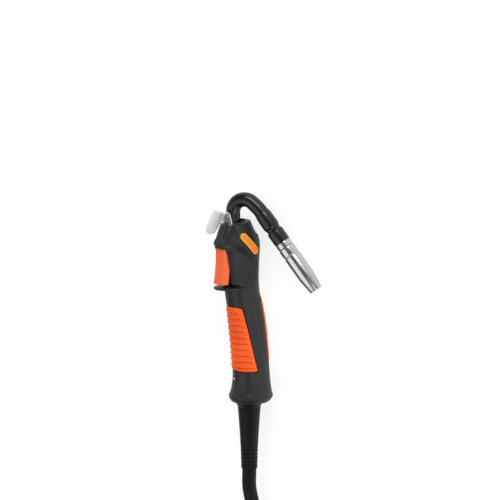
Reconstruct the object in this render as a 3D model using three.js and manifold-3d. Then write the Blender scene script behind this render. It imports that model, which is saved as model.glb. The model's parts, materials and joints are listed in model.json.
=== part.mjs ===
// A MIG welding torch lying on a bench with its cable coiled behind it.
// Millimetres, +Z up. The torch itself is drawn in its own frame, where
//   x runs to the front (the trigger side), y to the left side, z from the cable end to the neck,
// and is then laid on the bench with its neck end along world +Y and its trigger uppermost.

import * as THREE from 'three';
import { mergeVertices } from 'three/addons/utils/BufferGeometryUtils.js';
import Module from 'manifold-3d';

const wasm = await Module();
wasm.setup();

const GAP = 0.3;
const FAR = 200;

// How the torch lies: rolled about its handle, nose a little down, and where its handle rim sits.
const REST_ROLL = THREE.MathUtils.degToRad(20.3);
const REST_PITCH = THREE.MathUtils.degToRad(5.62);
const TORCH_PLACE = new THREE.Vector3(-28.45, -112.99, 26.12);

// Handle: [height, centre towards the front, half depth, half width, squareness] of each section.
const HANDLE_SECTIONS = [
  [0.6, -0.7, 16.4, 16.2, 2.3],
  [3.0, -1.5, 20.2, 19.2, 2.3],
  [8.0, -2.2, 23.2, 21.5, 2.3],
  [13.0, -2.55, 21.9, 20.3, 2.3],
  [19.0, -2.8, 20.4, 18.9, 2.4],
  [30.0, -2.75, 19.2, 17.8, 2.4],
  [46.0, -1.7, 18.9, 17.5, 2.5],
  [67.0, 0.1, 18.9, 17.5, 2.5],
  [88.0, 2.9, 18.9, 17.5, 2.5],
  [105.0, 5.8, 18.4, 17.1, 2.5],
  [118.0, 8.8, 17.8, 16.5, 2.5],
  [134.0, 11.2, 18.6, 17.0, 2.5],
  [150.0, 12.8, 20.2, 18.2, 2.5],
  [161.0, 14.6, 22.6, 19.3, 2.5],
  [169.0, 16.0, 24.4, 20.0, 2.5],
  [177.0, 16.2, 22.9, 19.6, 2.6],
  [185.5, 17.5, 18.6, 17.4, 2.8],
  [193.0, 17.5, 14.9, 14.8, 3.0],
  [198.5, 17.5, 13.2, 13.4, 3.0],
];
const WALL = 2.6;
const SHELL_SIDES = 24;
const TOP_HEIGHT = 196.4;
const TOP_SLOPE = 0.137;

// Ball joint of the cable support, on the handle's own axis.
const BALL_HEIGHT = 9;
const BALL_RADIUS = 16.5;
const BALL_CLEARANCE = 0.4;
const MOUTH_BOTTOM = -5;
const MOUTH_SPREAD = Math.tan(THREE.MathUtils.degToRad(68.5));

// Grips, as lines in side view.
const FRONT_GRIP = { low: 36, high: 105, edgeLow: 1.2, edgeHigh: 19.0, corner: 3 };
const GRIP_DEPTH = 1.5;
const GRIP_PROUD = 0.4;
const RIB_COUNT = 10;
const RIB_PITCH = 6.5;
const RIB_FIRST = 41.2;
const RIB_PROUD = 1.2;
const RIB_HALF = 0.8;

// Badge on each side of the head.
const BADGE = { x: 13.5, z: 172.8, length: 29, width: 8, turn: THREE.MathUtils.degToRad(46.6) };

// Trigger and its switch.
const TRIGGER_HALF_WIDTH = 8.25;
const TRIGGER_PIN = { x: 29.5, z: 163, radius: 1.5, half: 11.5 };
const SWITCH = { x: 23, z: 140, depth: 7, width: 12, height: 14 };
const PLUNGER_RADIUS = 2;

// Screws that join the shells, seen from the side.
const SHELL_SCREWS = [
  { name: 'shell_screw_rear', x: -11.5, z: 33 },
  { name: 'shell_screw_middle', x: -1, z: 112 },
  { name: 'shell_screw_head', x: 3, z: 179 },
];

// Hook: a bent strip that stands in front of the neck, with a rounded tongue.
const HOOK = {
  half: 10, thickness: 1, footX: 29.45, bendX: 36, bendZ: 202, radius: 4.3, tongue: 23.5,
  slant: THREE.MathUtils.degToRad(31),
};

// Neck: it rises, turns over in one bend, runs straight, and kinks into the line of the nozzle.
const NECK_X = 20.6;
const NECK_TURNED = THREE.MathUtils.degToRad(127);
const NECK_FOOT = 174;
const NECK_BEND_START = 205.8;
const NECK_BEND_RADIUS = 12.4;
const NECK_BEND_ANGLE = THREE.MathUtils.degToRad(132.5);
const NECK_STRAIGHT = 11.2;
const NOZZLE_ANGLE = THREE.MathUtils.degToRad(143.3);
const KINK_TO_COLLAR_END = 40.2;
const KINK_LENGTH = 1.5;
const NECK_RADIUS = 7.6;
const NECK_TUBE_RADIUS = 5;

// Everything on the nozzle's axis is placed from the front of the insulating collar.
const SLEEVE_FROM = -37.6;
const COLLAR_FROM = -15.2;
const SEAT_END = 6.2;
const NOZZLE_FRONT = 60.5;

// Cable and its coil on the bench.
const CABLE_RADIUS = 7.5;
const SUPPORT_LENGTH = 84;
const SUPPORT_DROOP = THREE.MathUtils.degToRad(4);
const SUPPORT_SWING = THREE.MathUtils.degToRad(-6);
const COIL_RADIUS = 82;
const TURN_PITCH = 15.2;
const COIL_FLOOR = 1.6;
const COIL_CENTRE_BACK = 232;
const COIL_LEAVES = THREE.MathUtils.degToRad(180);
const TIE_ANGLE = THREE.MathUtils.degToRad(40);
const PLUG_OFFSET = { x: -34, y: -128, z: 20.3 };
const TAIL_POINTS = [
  [-97.2, -34, 24.3],
  [-97.2, -68, 24],
  [-92.6, -91, 23.3],
  [-79.6, -110.4, 22.2],
  [-60.2, -123.4, 20.9],
  [-41, -128, 20.3],
];
const PLUG_PIN_OFFSETS = [7.6, -7.6];

const vec = (x, y, z) => new THREE.Vector3(x, y, z);
const vectors = (rows) => rows.map(([x, y, z]) => vec(x, y, z));

// ---- solids ---------------------------------------------------------------------------------

function signedVolume(geometry) {
  const p = geometry.attributes.position;
  const index = geometry.index;
  const a = vec(0, 0, 0);
  const b = vec(0, 0, 0);
  const c = vec(0, 0, 0);
  let volume = 0;
  for (let i = 0; i < index.count; i += 3) {
    a.fromBufferAttribute(p, index.getX(i));
    b.fromBufferAttribute(p, index.getX(i + 1));
    c.fromBufferAttribute(p, index.getX(i + 2));
    volume += a.dot(b.cross(c)) / 6;
  }
  return volume;
}

// A closed mesh with shared vertices and its faces pointing out.
function closed(geometry) {
  const plain = geometry.clone();
  plain.deleteAttribute('normal');
  plain.deleteAttribute('uv');
  const merged = mergeVertices(plain, 1e-4);
  if (signedVolume(merged) < 0) {
    merged.index.array.reverse();
  }
  return merged;
}

function solid(geometry) {
  const merged = closed(geometry);
  return new wasm.Manifold(new wasm.Mesh({
    numProp: 3,
    vertProperties: new Float32Array(merged.attributes.position.array),
    triVerts: new Uint32Array(merged.index.array),
  }));
}

function geometryOf(manifold) {
  const mesh = manifold.getMesh();
  const geometry = new THREE.BufferGeometry();
  geometry.setAttribute('position', new THREE.BufferAttribute(new Float32Array(mesh.vertProperties), 3));
  geometry.setIndex(new THREE.BufferAttribute(new Uint32Array(mesh.triVerts), 1));
  return geometry;
}

const joined = (base, parts) => parts.reduce((whole, part) => whole.add(part), base);
const cut = (base, parts) => parts.reduce((whole, part) => whole.subtract(part), base);

function box(low, high) {
  const geometry = new THREE.BoxGeometry(high.x - low.x, high.y - low.y, high.z - low.z);
  return geometry.translate((high.x + low.x) / 2, (high.y + low.y) / 2, (high.z + low.z) / 2);
}

// A turned piece about z from [radius, height] pairs that start and end on the axis or close up.
function turned(profile, sides = 24) {
  const points = profile.map(([radius, height]) => new THREE.Vector2(radius, height));
  return new THREE.LatheGeometry(points, sides).rotateX(Math.PI / 2);
}

const rod = (radius, from, to, sides = 16) =>
  turned([[0, from], [radius, from], [radius, to], [0, to]], sides);
const ring = (inner, outer, from, to, sides = 24) =>
  turned([[inner, from], [outer, from], [outer, to], [inner, to], [inner, from]], sides);

// A rod or any z-axis piece laid along y at (x, z).
const acrossAt = (geometry, x, z) => geometry.rotateX(-Math.PI / 2).translate(x, 0, z);

// A side-view outline of [x, z] points, extruded across the torch from y = -half to y = half.
function plateAcross(outline, half) {
  const shape = new THREE.Shape(outline.map(([x, z]) => new THREE.Vector2(x, z)));
  const geometry = new THREE.ExtrudeGeometry(shape, { depth: 2 * half, bevelEnabled: false });
  return geometry.rotateX(Math.PI / 2).translate(0, half, 0);
}

function polygon(radius, sides) {
  return Array.from({ length: sides }, (_, i) => {
    const angle = (2 * Math.PI * i) / sides;
    return new THREE.Vector2(radius * Math.cos(angle), radius * Math.sin(angle));
  });
}

// A tube along points, hollow where an inner radius is given.
function tube(points, radius, sides, steps, inner = 0, innerSides = 10) {
  const shape = new THREE.Shape(polygon(radius, sides));
  if (inner > 0) {
    shape.holes.push(new THREE.Path(polygon(inner, innerSides)));
  }
  const path = new THREE.CatmullRomCurve3(points, false, 'centripetal');
  return new THREE.ExtrudeGeometry(shape, { steps, extrudePath: path, bevelEnabled: false });
}

// ---- the handle's lofted form ---------------------------------------------------------------

// Section values at a height, on smooth curves through the listed sections.
function sectionAt(height) {
  const last = HANDLE_SECTIONS.length - 1;
  let k = 0;
  while (k < last - 1 && height > HANDLE_SECTIONS[k + 1][0]) {
    k += 1;
  }
  const before = HANDLE_SECTIONS[Math.max(k - 1, 0)];
  const from = HANDLE_SECTIONS[k];
  const to = HANDLE_SECTIONS[k + 1];
  const after = HANDLE_SECTIONS[Math.min(k + 2, last)];
  const span = to[0] - from[0];
  const t = THREE.MathUtils.clamp((height - from[0]) / span, 0, 1);
  return from.map((value, column) => {
    const slopeIn = ((to[column] - before[column]) / (to[0] - before[0])) * span;
    const slopeOut = ((after[column] - value) / (after[0] - from[0])) * span;
    const t2 = t * t;
    const t3 = t2 * t;
    return (2 * t3 - 3 * t2 + 1) * value + (t3 - 2 * t2 + t) * slopeIn
      + (3 * t2 - 2 * t3) * to[column] + (t3 - t2) * slopeOut;
  });
}

function sectionPoint(height, angle, offset) {
  const [, centre, depth, width, squareness] = sectionAt(height);
  const c = Math.cos(angle);
  const s = Math.sin(angle);
  const power = 2 / squareness;
  return vec(
    centre + (depth + offset) * Math.sign(c) * Math.abs(c) ** power,
    (width + offset) * Math.sign(s) * Math.abs(s) ** power,
    height,
  );
}

function handleLoft(from, to, levels, offset, sides = SHELL_SIDES) {
  const positions = [];
  const index = [];
  for (let level = 0; level <= levels; level += 1) {
    const height = from + ((to - from) * level) / levels;
    for (let i = 0; i < sides; i += 1) {
      positions.push(...sectionPoint(height, (2 * Math.PI * i) / sides, offset).toArray());
    }
  }
  for (let level = 0; level < levels; level += 1) {
    for (let i = 0; i < sides; i += 1) {
      const a = level * sides + i;
      const b = level * sides + ((i + 1) % sides);
      index.push(a, b, b + sides, a, b + sides, a + sides);
    }
  }
  const top = levels * sides;
  for (let i = 1; i < sides - 1; i += 1) {
    index.push(0, i + 1, i);
    index.push(top, top + i, top + i + 1);
  }
  const geometry = new THREE.BufferGeometry();
  geometry.setAttribute('position', new THREE.BufferAttribute(new Float32Array(positions), 3));
  geometry.setIndex(index);
  return geometry;
}

// ---- handle shells and what is let into them ------------------------------------------------

// Side-view outline of the front grip, grown or shrunk by a margin.
function frontGripOutline(margin) {
  const { corner } = FRONT_GRIP;
  const low = FRONT_GRIP.low - margin;
  const high = FRONT_GRIP.high + margin;
  const edgeLow = FRONT_GRIP.edgeLow - margin;
  const edgeHigh = FRONT_GRIP.edgeHigh - margin;
  const lean = ((edgeHigh - edgeLow) / (high - low)) * corner;
  const shape = new THREE.Shape();
  shape.moveTo(60, low);
  shape.lineTo(edgeLow + corner, low);
  shape.quadraticCurveTo(edgeLow, low, edgeLow + lean, low + corner);
  shape.lineTo(edgeHigh - lean, high - corner);
  shape.quadraticCurveTo(edgeHigh, high, edgeHigh + corner, high);
  shape.lineTo(60, high);
  return shape.getPoints(4).map((p) => [p.x, p.y]);
}

// Side-view outline of the long back grip: a line that follows the back and runs out at each end.
function backGripOutline(margin) {
  const low = 37 - margin;
  const high = 124 + margin;
  const points = [];
  for (let i = 0; i <= 12; i += 1) {
    const along = i / 12;
    const height = low + (high - low) * along;
    const [, centre, depth] = sectionAt(height);
    const taper = 0.3 * Math.abs(2 * along - 1) ** 3;
    points.push([centre - depth * (0.66 + taper) + margin, height]);
  }
  return [[-60, high], [-60, low], ...points];
}

function badgeSolid(margin) {
  const half = BADGE.width / 2 + margin;
  const reach = BADGE.length / 2 - BADGE.width / 2;
  const shape = new THREE.Shape();
  shape.absarc(reach, 0, half, -Math.PI / 2, Math.PI / 2, false);
  shape.absarc(-reach, 0, half, Math.PI / 2, (3 * Math.PI) / 2, false);
  const geometry = new THREE.ExtrudeGeometry(shape, { depth: 40, bevelEnabled: false, curveSegments: 6 });
  geometry.rotateZ(BADGE.turn);
  return geometry.rotateX(Math.PI / 2).translate(BADGE.x, 40, BADGE.z);
}

const mirrored = (manifold) => manifold.mirror([0, 1, 0]);

// The slice of the handle's skin between two offsets.
function skin(from, to, levels, inner, outer) {
  const core = handleLoft(from - 1, to + 1, levels, inner);
  return solid(handleLoft(from, to, levels, outer)).subtract(solid(core));
}

function fingerGuard() {
  const outline = [];
  for (let i = 0; i < 28; i += 1) {
    const angle = (2 * Math.PI * i) / 28;
    outline.push(new THREE.Vector2(20 + 22.6 * Math.cos(angle), 17.4 * Math.sin(angle)));
  }
  const plate = new THREE.ExtrudeGeometry(new THREE.Shape(outline), { depth: 2.6, bevelEnabled: false });
  return solid(plate.translate(0, 0, 124.3));
}

function topCut() {
  const block = box(vec(-FAR, -FAR, 0), vec(FAR, FAR, 60));
  return solid(block.rotateY(Math.atan(TOP_SLOPE)).translate(0, 0, TOP_HEIGHT));
}

function screwBosses() {
  const bosses = SHELL_SCREWS.map(({ x, z }) => solid(acrossAt(rod(3.6, -20, 20, 12), x, z)));
  const pin = acrossAt(rod(3.6, -20, 20, 12), TRIGGER_PIN.x, TRIGGER_PIN.z);
  const clear = box(vec(0, -TRIGGER_HALF_WIDTH - 0.5, 150), vec(60, TRIGGER_HALF_WIDTH + 0.5, 176));
  return joined(solid(pin).subtract(solid(clear)), bosses);
}

// The round seat of the ball joint and the cone that lets the cable support swing.
function ballMouth() {
  const rim = MOUTH_SPREAD * (BALL_HEIGHT - MOUTH_BOTTOM);
  const cone = turned([[0, MOUTH_BOTTOM], [rim, MOUTH_BOTTOM], [0, BALL_HEIGHT]], 24);
  const ball = new THREE.SphereGeometry(BALL_RADIUS + BALL_CLEARANCE, 24, 16);
  return solid(cone).add(solid(ball.rotateX(Math.PI / 2).translate(0, 0, BALL_HEIGHT)));
}

function shellCuts() {
  const triggerSlot = box(vec(22, -8.7, 128.6), vec(60, 8.7, 168.7));
  const topOpening = rod(1, 180, 200, 28).scale(10.6, 9.2, 1).translate(18.2, 0, 0);
  const hookSlot = box(vec(28.6, -8.8, 182), vec(30.3, 8.8, 200));
  const pinBore = acrossAt(rod(1.8, -13, 13, 12), TRIGGER_PIN.x, TRIGGER_PIN.z);
  const studBore = rod(1.7, 0, 10, 12).rotateY(Math.PI / 2).translate(12, -5, 27);
  const cuts = [triggerSlot, topOpening, hookSlot, pinBore, studBore].map(solid);
  cuts.push(ballMouth(), topCut());
  for (const { x, z } of SHELL_SCREWS) {
    cuts.push(solid(acrossAt(rod(1.8, -30, 9, 12), x, z)));
    cuts.push(solid(acrossAt(rod(3.4, -40, -12, 12), x, z)));
  }
  return cuts;
}

function shells() {
  const outer = solid(handleLoft(0.6, 198.5, 27, 0));
  const hollow = solid(handleLoft(3.2, 189.5, 14, -WALL, 16));
  const floor = -GRIP_DEPTH - GAP;
  const frontWindow = solid(plateAcross(frontGripOutline(GAP), 40));
  const backWindow = solid(plateAcross(backGripOutline(GAP), 40));
  const badgeGroove = skin(155, 190, 5, floor, 6).intersect(solid(badgeSolid(GAP)));
  const grooves = [
    skin(30, 110, 7, floor, 6).intersect(frontWindow),
    skin(30, 130, 10, floor, 6).intersect(backWindow),
    badgeGroove,
    mirrored(badgeGroove),
  ];
  const bosses = screwBosses().intersect(outer);
  const guard = fingerGuard().subtract(hollow);
  const walls = joined(outer.subtract(hollow), [bosses, guard]);
  const both = cut(walls, [...grooves, ...shellCuts()]);
  const left = both.intersect(solid(box(vec(-FAR, GAP / 2, -FAR), vec(FAR, FAR, 2 * FAR))));
  const right = both.intersect(solid(box(vec(-FAR, -FAR, -FAR), vec(FAR, -GAP / 2, 2 * FAR))));
  return { left: geometryOf(left), right: geometryOf(right) };
}

function frontGrip() {
  const window = solid(plateAcross(frontGripOutline(0), 40));
  const pad = skin(30, 110, 7, -GRIP_DEPTH, GRIP_PROUD).intersect(window);
  const ribs = [];
  const inside = solid(plateAcross(frontGripOutline(-3), 40));
  for (let i = 0; i < RIB_COUNT; i += 1) {
    const height = RIB_FIRST + i * RIB_PITCH;
    const slab = skin(height - RIB_HALF, height + RIB_HALF, 1, -0.5, RIB_PROUD);
    ribs.push(slab.intersect(inside));
  }
  return geometryOf(joined(pad, ribs));
}

function backGrip() {
  const window = solid(plateAcross(backGripOutline(0), 40));
  return geometryOf(skin(30, 130, 10, -GRIP_DEPTH, GRIP_PROUD).intersect(window));
}

function badge() {
  return skin(155, 190, 5, -GRIP_DEPTH, 0.7).intersect(solid(badgeSolid(0)));
}

// ---- hook -----------------------------------------------------------------------------------

function hook() {
  const { slant, bendX, bendZ, radius } = HOOK;
  const centre = [[HOOK.footX, 185.5], [HOOK.footX, 193], [bendX - radius, bendZ]];
  for (let i = 1; i <= 8; i += 1) {
    const angle = Math.PI - ((Math.PI - slant) * i) / 8;
    centre.push([bendX + radius * Math.cos(angle), bendZ + radius * Math.sin(angle)]);
  }
  const start = centre[centre.length - 1];
  const outline = stripOutline(centre, HOOK.thickness / 2);
  const strip = solid(plateAcross(outline, HOOK.half));
  const shoulders = [-1, 1].map((side) =>
    solid(box(vec(20, side * 15 - 6.5, 180), vec(32, side * 15 + 6.5, 192.9))));
  const tongueShape = new THREE.Shape();
  tongueShape.moveTo(-HOOK.half, 0);
  tongueShape.lineTo(HOOK.half, 0);
  tongueShape.lineTo(HOOK.half, HOOK.tongue - HOOK.half);
  tongueShape.absarc(0, HOOK.tongue - HOOK.half, HOOK.half, 0, Math.PI, false);
  const tongue = new THREE.ExtrudeGeometry(tongueShape, {
    depth: HOOK.thickness, bevelEnabled: false, curveSegments: 12,
  });
  const along = vec(Math.sin(slant), 0, -Math.cos(slant));
  const outward = vec(Math.cos(slant), 0, Math.sin(slant));
  const across = vec(0, 0, 0).crossVectors(along, outward);
  const basis = new THREE.Matrix4().makeBasis(across, along, outward);
  const shift = outward.clone().multiplyScalar(-HOOK.thickness / 2);
  basis.setPosition(start[0] + shift.x - 0.01, 0, start[1] + shift.z);
  tongue.applyMatrix4(basis);
  return geometryOf(cut(strip, shoulders).add(solid(tongue)));
}

// The outline of a bent strip from the points of its middle line.
function stripOutline(centre, half) {
  const one = [];
  const other = [];
  centre.forEach(([x, z], i) => {
    const [px, pz] = centre[Math.max(i - 1, 0)];
    const [nx, nz] = centre[Math.min(i + 1, centre.length - 1)];
    const length = Math.hypot(nx - px, nz - pz);
    const sx = (-(nz - pz) / length) * half;
    const sz = ((nx - px) / length) * half;
    one.push([x + sx, z + sz]);
    other.unshift([x - sx, z - sz]);
  });
  return [...one, ...other];
}

// ---- trigger, switch and what is inside the handle -------------------------------------------

function trigger() {
  const half = TRIGGER_HALF_WIDTH;
  const outline = new THREE.Shape();
  outline.moveTo(30.5, 129.9);
  outline.lineTo(39.6, 129.7);
  outline.quadraticCurveTo(40.8, 130.2, 40.5, 131.8);
  outline.quadraticCurveTo(37.4, 150, 37.7, 166);
  outline.quadraticCurveTo(37.6, 167.6, 36.2, 167.6);
  outline.lineTo(26.2, 167.6);
  outline.lineTo(26.2, 158.5);
  outline.lineTo(30.5, 157);
  const body = solid(plateAcross(outline.getPoints(6).map((p) => [p.x, p.y]), half));
  const pockets = [
    solid(box(vec(20, -6, 131.8), vec(34, 6, 157.6))),
    solid(box(vec(20, -4.2, 157), vec(33.6, 4.2, 170))),
    solid(acrossAt(rod(TRIGGER_PIN.radius + GAP, -15, 15, 12), TRIGGER_PIN.x, TRIGGER_PIN.z)),
  ];
  return geometryOf(cut(body, pockets));
}

// Torsion spring round the trigger's pin.
function triggerSpring() {
  const points = [];
  for (let i = 0; i <= 36; i += 1) {
    const angle = (2 * Math.PI * i) / 12;
    points.push(vec(2.5 * Math.cos(angle), -2.2 + (4.4 * i) / 36, 2.5 * Math.sin(angle)));
  }
  return tube(points, 0.4, 5, 30).translate(TRIGGER_PIN.x, 0, TRIGGER_PIN.z);
}

function switchBody() {
  const { x, z, depth, width, height } = SWITCH;
  const block = new THREE.BoxGeometry(depth, width, height).translate(x, 0, z);
  const bore = rod(PLUNGER_RADIUS + GAP, x - depth / 2 + 1.2, x + depth, 12);
  return geometryOf(solid(block).subtract(solid(bore.rotateY(Math.PI / 2).translate(0, 0, z))));
}

const switchPlunger = () =>
  rod(PLUNGER_RADIUS, SWITCH.x, 33.6, 12).rotateY(Math.PI / 2).translate(0, 0, SWITCH.z);

const innerCable = () => tube(vectors([
  [0, 0, 26.5],
  [3, 0, 60],
  [7, 0, 100],
  [11.2, 0, 133],
  [15.2, 0, 149],
  [19.4, 0, 160],
  [NECK_X, 0, 168.8],
]), 4.6, 10, 18);

const switchWire = (side) => tube(vectors([
  [21.5, side * 3, 132.4],
  [18.5, side * 5, 122],
  [12.5, side * 7.6, 90],
  [8, side * 8, 50],
  [6, side * 7.6, 27],
]), 0.8, 8, 20);

const neckSocket = () => turned([
  [4.9, 169.5], [9, 169.5], [10, 171], [10, 178], [9.4, 179], [9.4, 184],
  [NECK_RADIUS + 0.35, 184], [NECK_RADIUS + 0.35, 173.6], [4.9, 173.6], [4.9, 169.5],
], 20).translate(NECK_X, 0, 0);

const screw = (headFrom, headTo, tip, headRadius = 3, shaft = 1.5) =>
  turned([
    [0, headFrom], [headRadius, headFrom], [headRadius, headTo],
    [shaft, headTo], [shaft, tip], [0, tip],
  ], 16);

// ---- neck and nozzle ------------------------------------------------------------------------

const NECK_ORIGIN = vec(NECK_X, 0, 0);
const NECK_OUT = vec(Math.cos(NECK_TURNED), Math.sin(NECK_TURNED), 0);

// A point of the neck's plane: so far out along its bend, so high.
const inNeckPlane = (out, height) => NECK_ORIGIN.clone().addScaledVector(NECK_OUT, out).setZ(height);

const BEND_SINE = Math.sin(NECK_BEND_ANGLE);
const BEND_COSINE = Math.cos(NECK_BEND_ANGLE);
const KINK = {
  out: NECK_BEND_RADIUS * (1 - BEND_COSINE) + NECK_STRAIGHT * BEND_SINE,
  height: NECK_BEND_START + NECK_BEND_RADIUS * BEND_SINE + NECK_STRAIGHT * BEND_COSINE,
};
const NOZZLE_AXIS = NECK_OUT.clone().multiplyScalar(Math.sin(NOZZLE_ANGLE)).setZ(Math.cos(NOZZLE_ANGLE));
const COLLAR_END = inNeckPlane(KINK.out, KINK.height).addScaledVector(NOZZLE_AXIS, KINK_TO_COLLAR_END);

const onNozzleAxis = (along) => COLLAR_END.clone().addScaledVector(NOZZLE_AXIS, along);

// The neck's middle line from a height on the riser to a place on the nozzle's axis.
function neckLine(fromHeight, toAlong) {
  const points = [inNeckPlane(0, fromHeight), inNeckPlane(0, (fromHeight + NECK_BEND_START) / 2)];
  const steps = 12;
  for (let i = 0; i <= steps; i += 1) {
    const angle = (NECK_BEND_ANGLE * i) / steps;
    const out = NECK_BEND_RADIUS * (1 - Math.cos(angle));
    points.push(inNeckPlane(out, NECK_BEND_START + NECK_BEND_RADIUS * Math.sin(angle)));
  }
  const along = NECK_OUT.clone().multiplyScalar(BEND_SINE).setZ(BEND_COSINE);
  points.push(inNeckPlane(KINK.out, KINK.height).addScaledVector(along, -KINK_LENGTH));
  points.push(onNozzleAxis(KINK_LENGTH - KINK_TO_COLLAR_END));
  if (toAlong > KINK_LENGTH - KINK_TO_COLLAR_END + 0.5) {
    points.push(onNozzleAxis(toAlong));
  }
  return points;
}

const neckSleeve = () => turned([
  [5.3, SLEEVE_FROM], [7.5, SLEEVE_FROM], [8.5, SLEEVE_FROM + 3], [8.7, COLLAR_FROM - 5],
  [7.2, COLLAR_FROM - 1.5],
  [7.2, COLLAR_FROM - GAP], [5.3, COLLAR_FROM - GAP], [5.3, SLEEVE_FROM],
], 20);

const neckInsulator = () => turned([
  [5.3, COLLAR_FROM], [7.9, COLLAR_FROM], [8.75, COLLAR_FROM + 1.2], [8.75, 0],
  [5.3, 0], [5.3, COLLAR_FROM],
], 20);

const tipHolder = () => turned([
  [1.5, 4.6], [4.6, 4.6], [4.6, 30], [3.9, 32], [1.5, 32], [1.5, 4.6],
], 20);

const contactTip = () => turned([
  [0.6, 32.4], [4, 32.4], [4, 49], [2.6, 57.5], [0.6, 57.5], [0.6, 32.4],
], 20);

const gasNozzle = () => turned([
  [7.3, SEAT_END + GAP], [8.7, SEAT_END + GAP], [8.9, 7.2], [8.9, 16], [8.6, 16.4], [8.6, 16.9], [9, 17.3],
  [9, 43.9], [7, NOZZLE_FRONT], [5.8, NOZZLE_FRONT], [7.3, 44.5], [7.3, SEAT_END + GAP],
], 24);

function nozzleSpring() {
  const points = [];
  for (let i = 0; i <= 40; i += 1) {
    const angle = (2 * Math.PI * i) / 12;
    points.push(vec(5.6 * Math.cos(angle), 5.6 * Math.sin(angle), 8.5 + (9 * i) / 40));
  }
  return tube(points, 0.6, 5, 36);
}

// ---- cable, coil and connector, drawn along their own +z axis or on the bench ------------------

// The moulded support: a ball that sits in the handle and a long taper over the cable.
function cableSupport() {
  const joinAngle = 0.85;
  const steps = 10;
  const profile = [[0, -BALL_RADIUS]];
  for (let i = 1; i <= steps; i += 1) {
    const angle = Math.PI - ((Math.PI - joinAngle) * i) / steps;
    profile.push([BALL_RADIUS * Math.sin(angle), BALL_RADIUS * Math.cos(angle)]);
  }
  profile.push([12.3, 11.4], [9.9, 45], [8.6, SUPPORT_LENGTH], [0, SUPPORT_LENGTH]);
  return turned(profile, 24);
}

const ballSeat = () => turned([
  [14.2, 18], [14.6, 18], [14.6, 22], [10.9, 22], [12.6, 20], [14.2, 18],
], 20);

const COIL_OUTER = COIL_RADIUS + TURN_PITCH + CABLE_RADIUS + 0.1;
const COIL_INNER = COIL_RADIUS - TURN_PITCH - CABLE_RADIUS - 0.1;
const COIL_TOP = COIL_FLOOR + TURN_PITCH + 2 * CABLE_RADIUS;
const LOW_LAYER = COIL_FLOOR + CABLE_RADIUS;
const HIGH_LAYER = LOW_LAYER + TURN_PITCH;

const coilRing = () => turned([
  [COIL_INNER + 3, COIL_FLOOR], [COIL_OUTER - 3, COIL_FLOOR], [COIL_OUTER, COIL_FLOOR + 4],
  [COIL_OUTER, COIL_TOP - 4], [COIL_OUTER - 3, COIL_TOP], [COIL_INNER + 3, COIL_TOP],
  [COIL_INNER, COIL_TOP - 4], [COIL_INNER, COIL_FLOOR + 4], [COIL_INNER + 3, COIL_FLOOR],
], 36);

// The room the ring takes up, with the gap that its neighbours keep.
const coilRingSpace = () => ring(COIL_INNER - GAP, COIL_OUTER + GAP, COIL_FLOOR - 2, COIL_TOP + 2, 36);

// From the support, down to the bench, and to where the outer turn begins.
const leadRoute = (exit, out, entry) => [
  exit,
  exit.clone().addScaledVector(out, 22),
  vec(exit.x, exit.y - 50, exit.z - 5.2),
  vec((exit.x + entry.x) / 2, exit.y - 85, LOW_LAYER + 0.6),
  vec(entry.x, entry.y + 40, LOW_LAYER),
  vec(entry.x, entry.y + 20, LOW_LAYER),
  entry,
];

// From the top outer turn, round beside the coil, to the connector's support.
function tailRoute(centre, plugPoint) {
  const outerTurn = COIL_RADIUS + TURN_PITCH;
  const points = [-20, 0].map((behind) => {
    const angle = COIL_LEAVES + THREE.MathUtils.degToRad(behind);
    return vec(centre.x + outerTurn * Math.cos(angle), centre.y + outerTurn * Math.sin(angle), HIGH_LAYER);
  });
  for (const [x, y, z] of TAIL_POINTS) {
    points.push(vec(centre.x + x, centre.y + y, z));
  }
  points.push(plugPoint.clone().add(vec(-GAP, 0, 0)));
  return points;
}

function coilTie() {
  const strap = 1.1;
  const half = 8;
  const near = COIL_INNER - 0.9;
  const far = COIL_OUTER + GAP;
  const rectangle = (grow) => [
    new THREE.Vector2(near - grow, COIL_FLOOR - GAP - grow),
    new THREE.Vector2(far + grow, COIL_FLOOR - GAP - grow),
    new THREE.Vector2(far + grow, COIL_TOP + GAP + grow),
    new THREE.Vector2(near - grow, COIL_TOP + GAP + grow),
  ];
  const shape = new THREE.Shape(rectangle(strap));
  shape.holes.push(new THREE.Path(rectangle(0)));
  const geometry = new THREE.ExtrudeGeometry(shape, { depth: 2 * half, bevelEnabled: false });
  return geometry.translate(0, 0, -half).rotateX(Math.PI / 2);
}

const rearSupport = () => turned([[0, 0], [8.7, 0], [11.8, 44], [11.8, 46], [0, 46]], 20);

const plugHousing = () => turned([
  [0, 46.3], [13, 46.3], [15.3, 52], [15.8, 84], [17.5, 88], [17.5, 94], [10.6, 94], [10.6, 60], [0, 60],
], 20);

function plugBody() {
  const body = solid(turned([
    [0, 60.4], [10.2, 60.4], [10.2, 98.5], [14.5, 98.5], [14.5, 102], [12, 102], [12, 124], [0, 124],
  ], 20));
  const holes = PLUG_PIN_OFFSETS.map((x) => solid(rod(1.9, 111, 130, 12).translate(x, 0, 0)));
  return geometryOf(cut(body, holes));
}

const plugNut = () => turned([
  [10.6, 94.3], [18.6, 94.3], [20, 96.4], [20, 123.6], [18.6, 126],
  [15.2, 126], [15.2, 98.2], [10.6, 98.2], [10.6, 94.3],
], 20);

const controlPin = () => turned([[0, 114.5], [1.5, 114.5], [1.5, 130.2], [0.8, 131], [0, 131]], 12);
const wireInlet = () => ring(1.4, 4.6, 124.3, 141, 16);
const inletSeal = () => ring(4.9, 6, 133, 135.2, 16);
const gasNipple = () => rod(1.8, 124.3, 130, 12).translate(0, -8.2, 0);

// ---- assembly -------------------------------------------------------------------------------

const material = (color, roughness, metalness = 0) =>
  new THREE.MeshStandardMaterial({ color, roughness, metalness });

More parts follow.
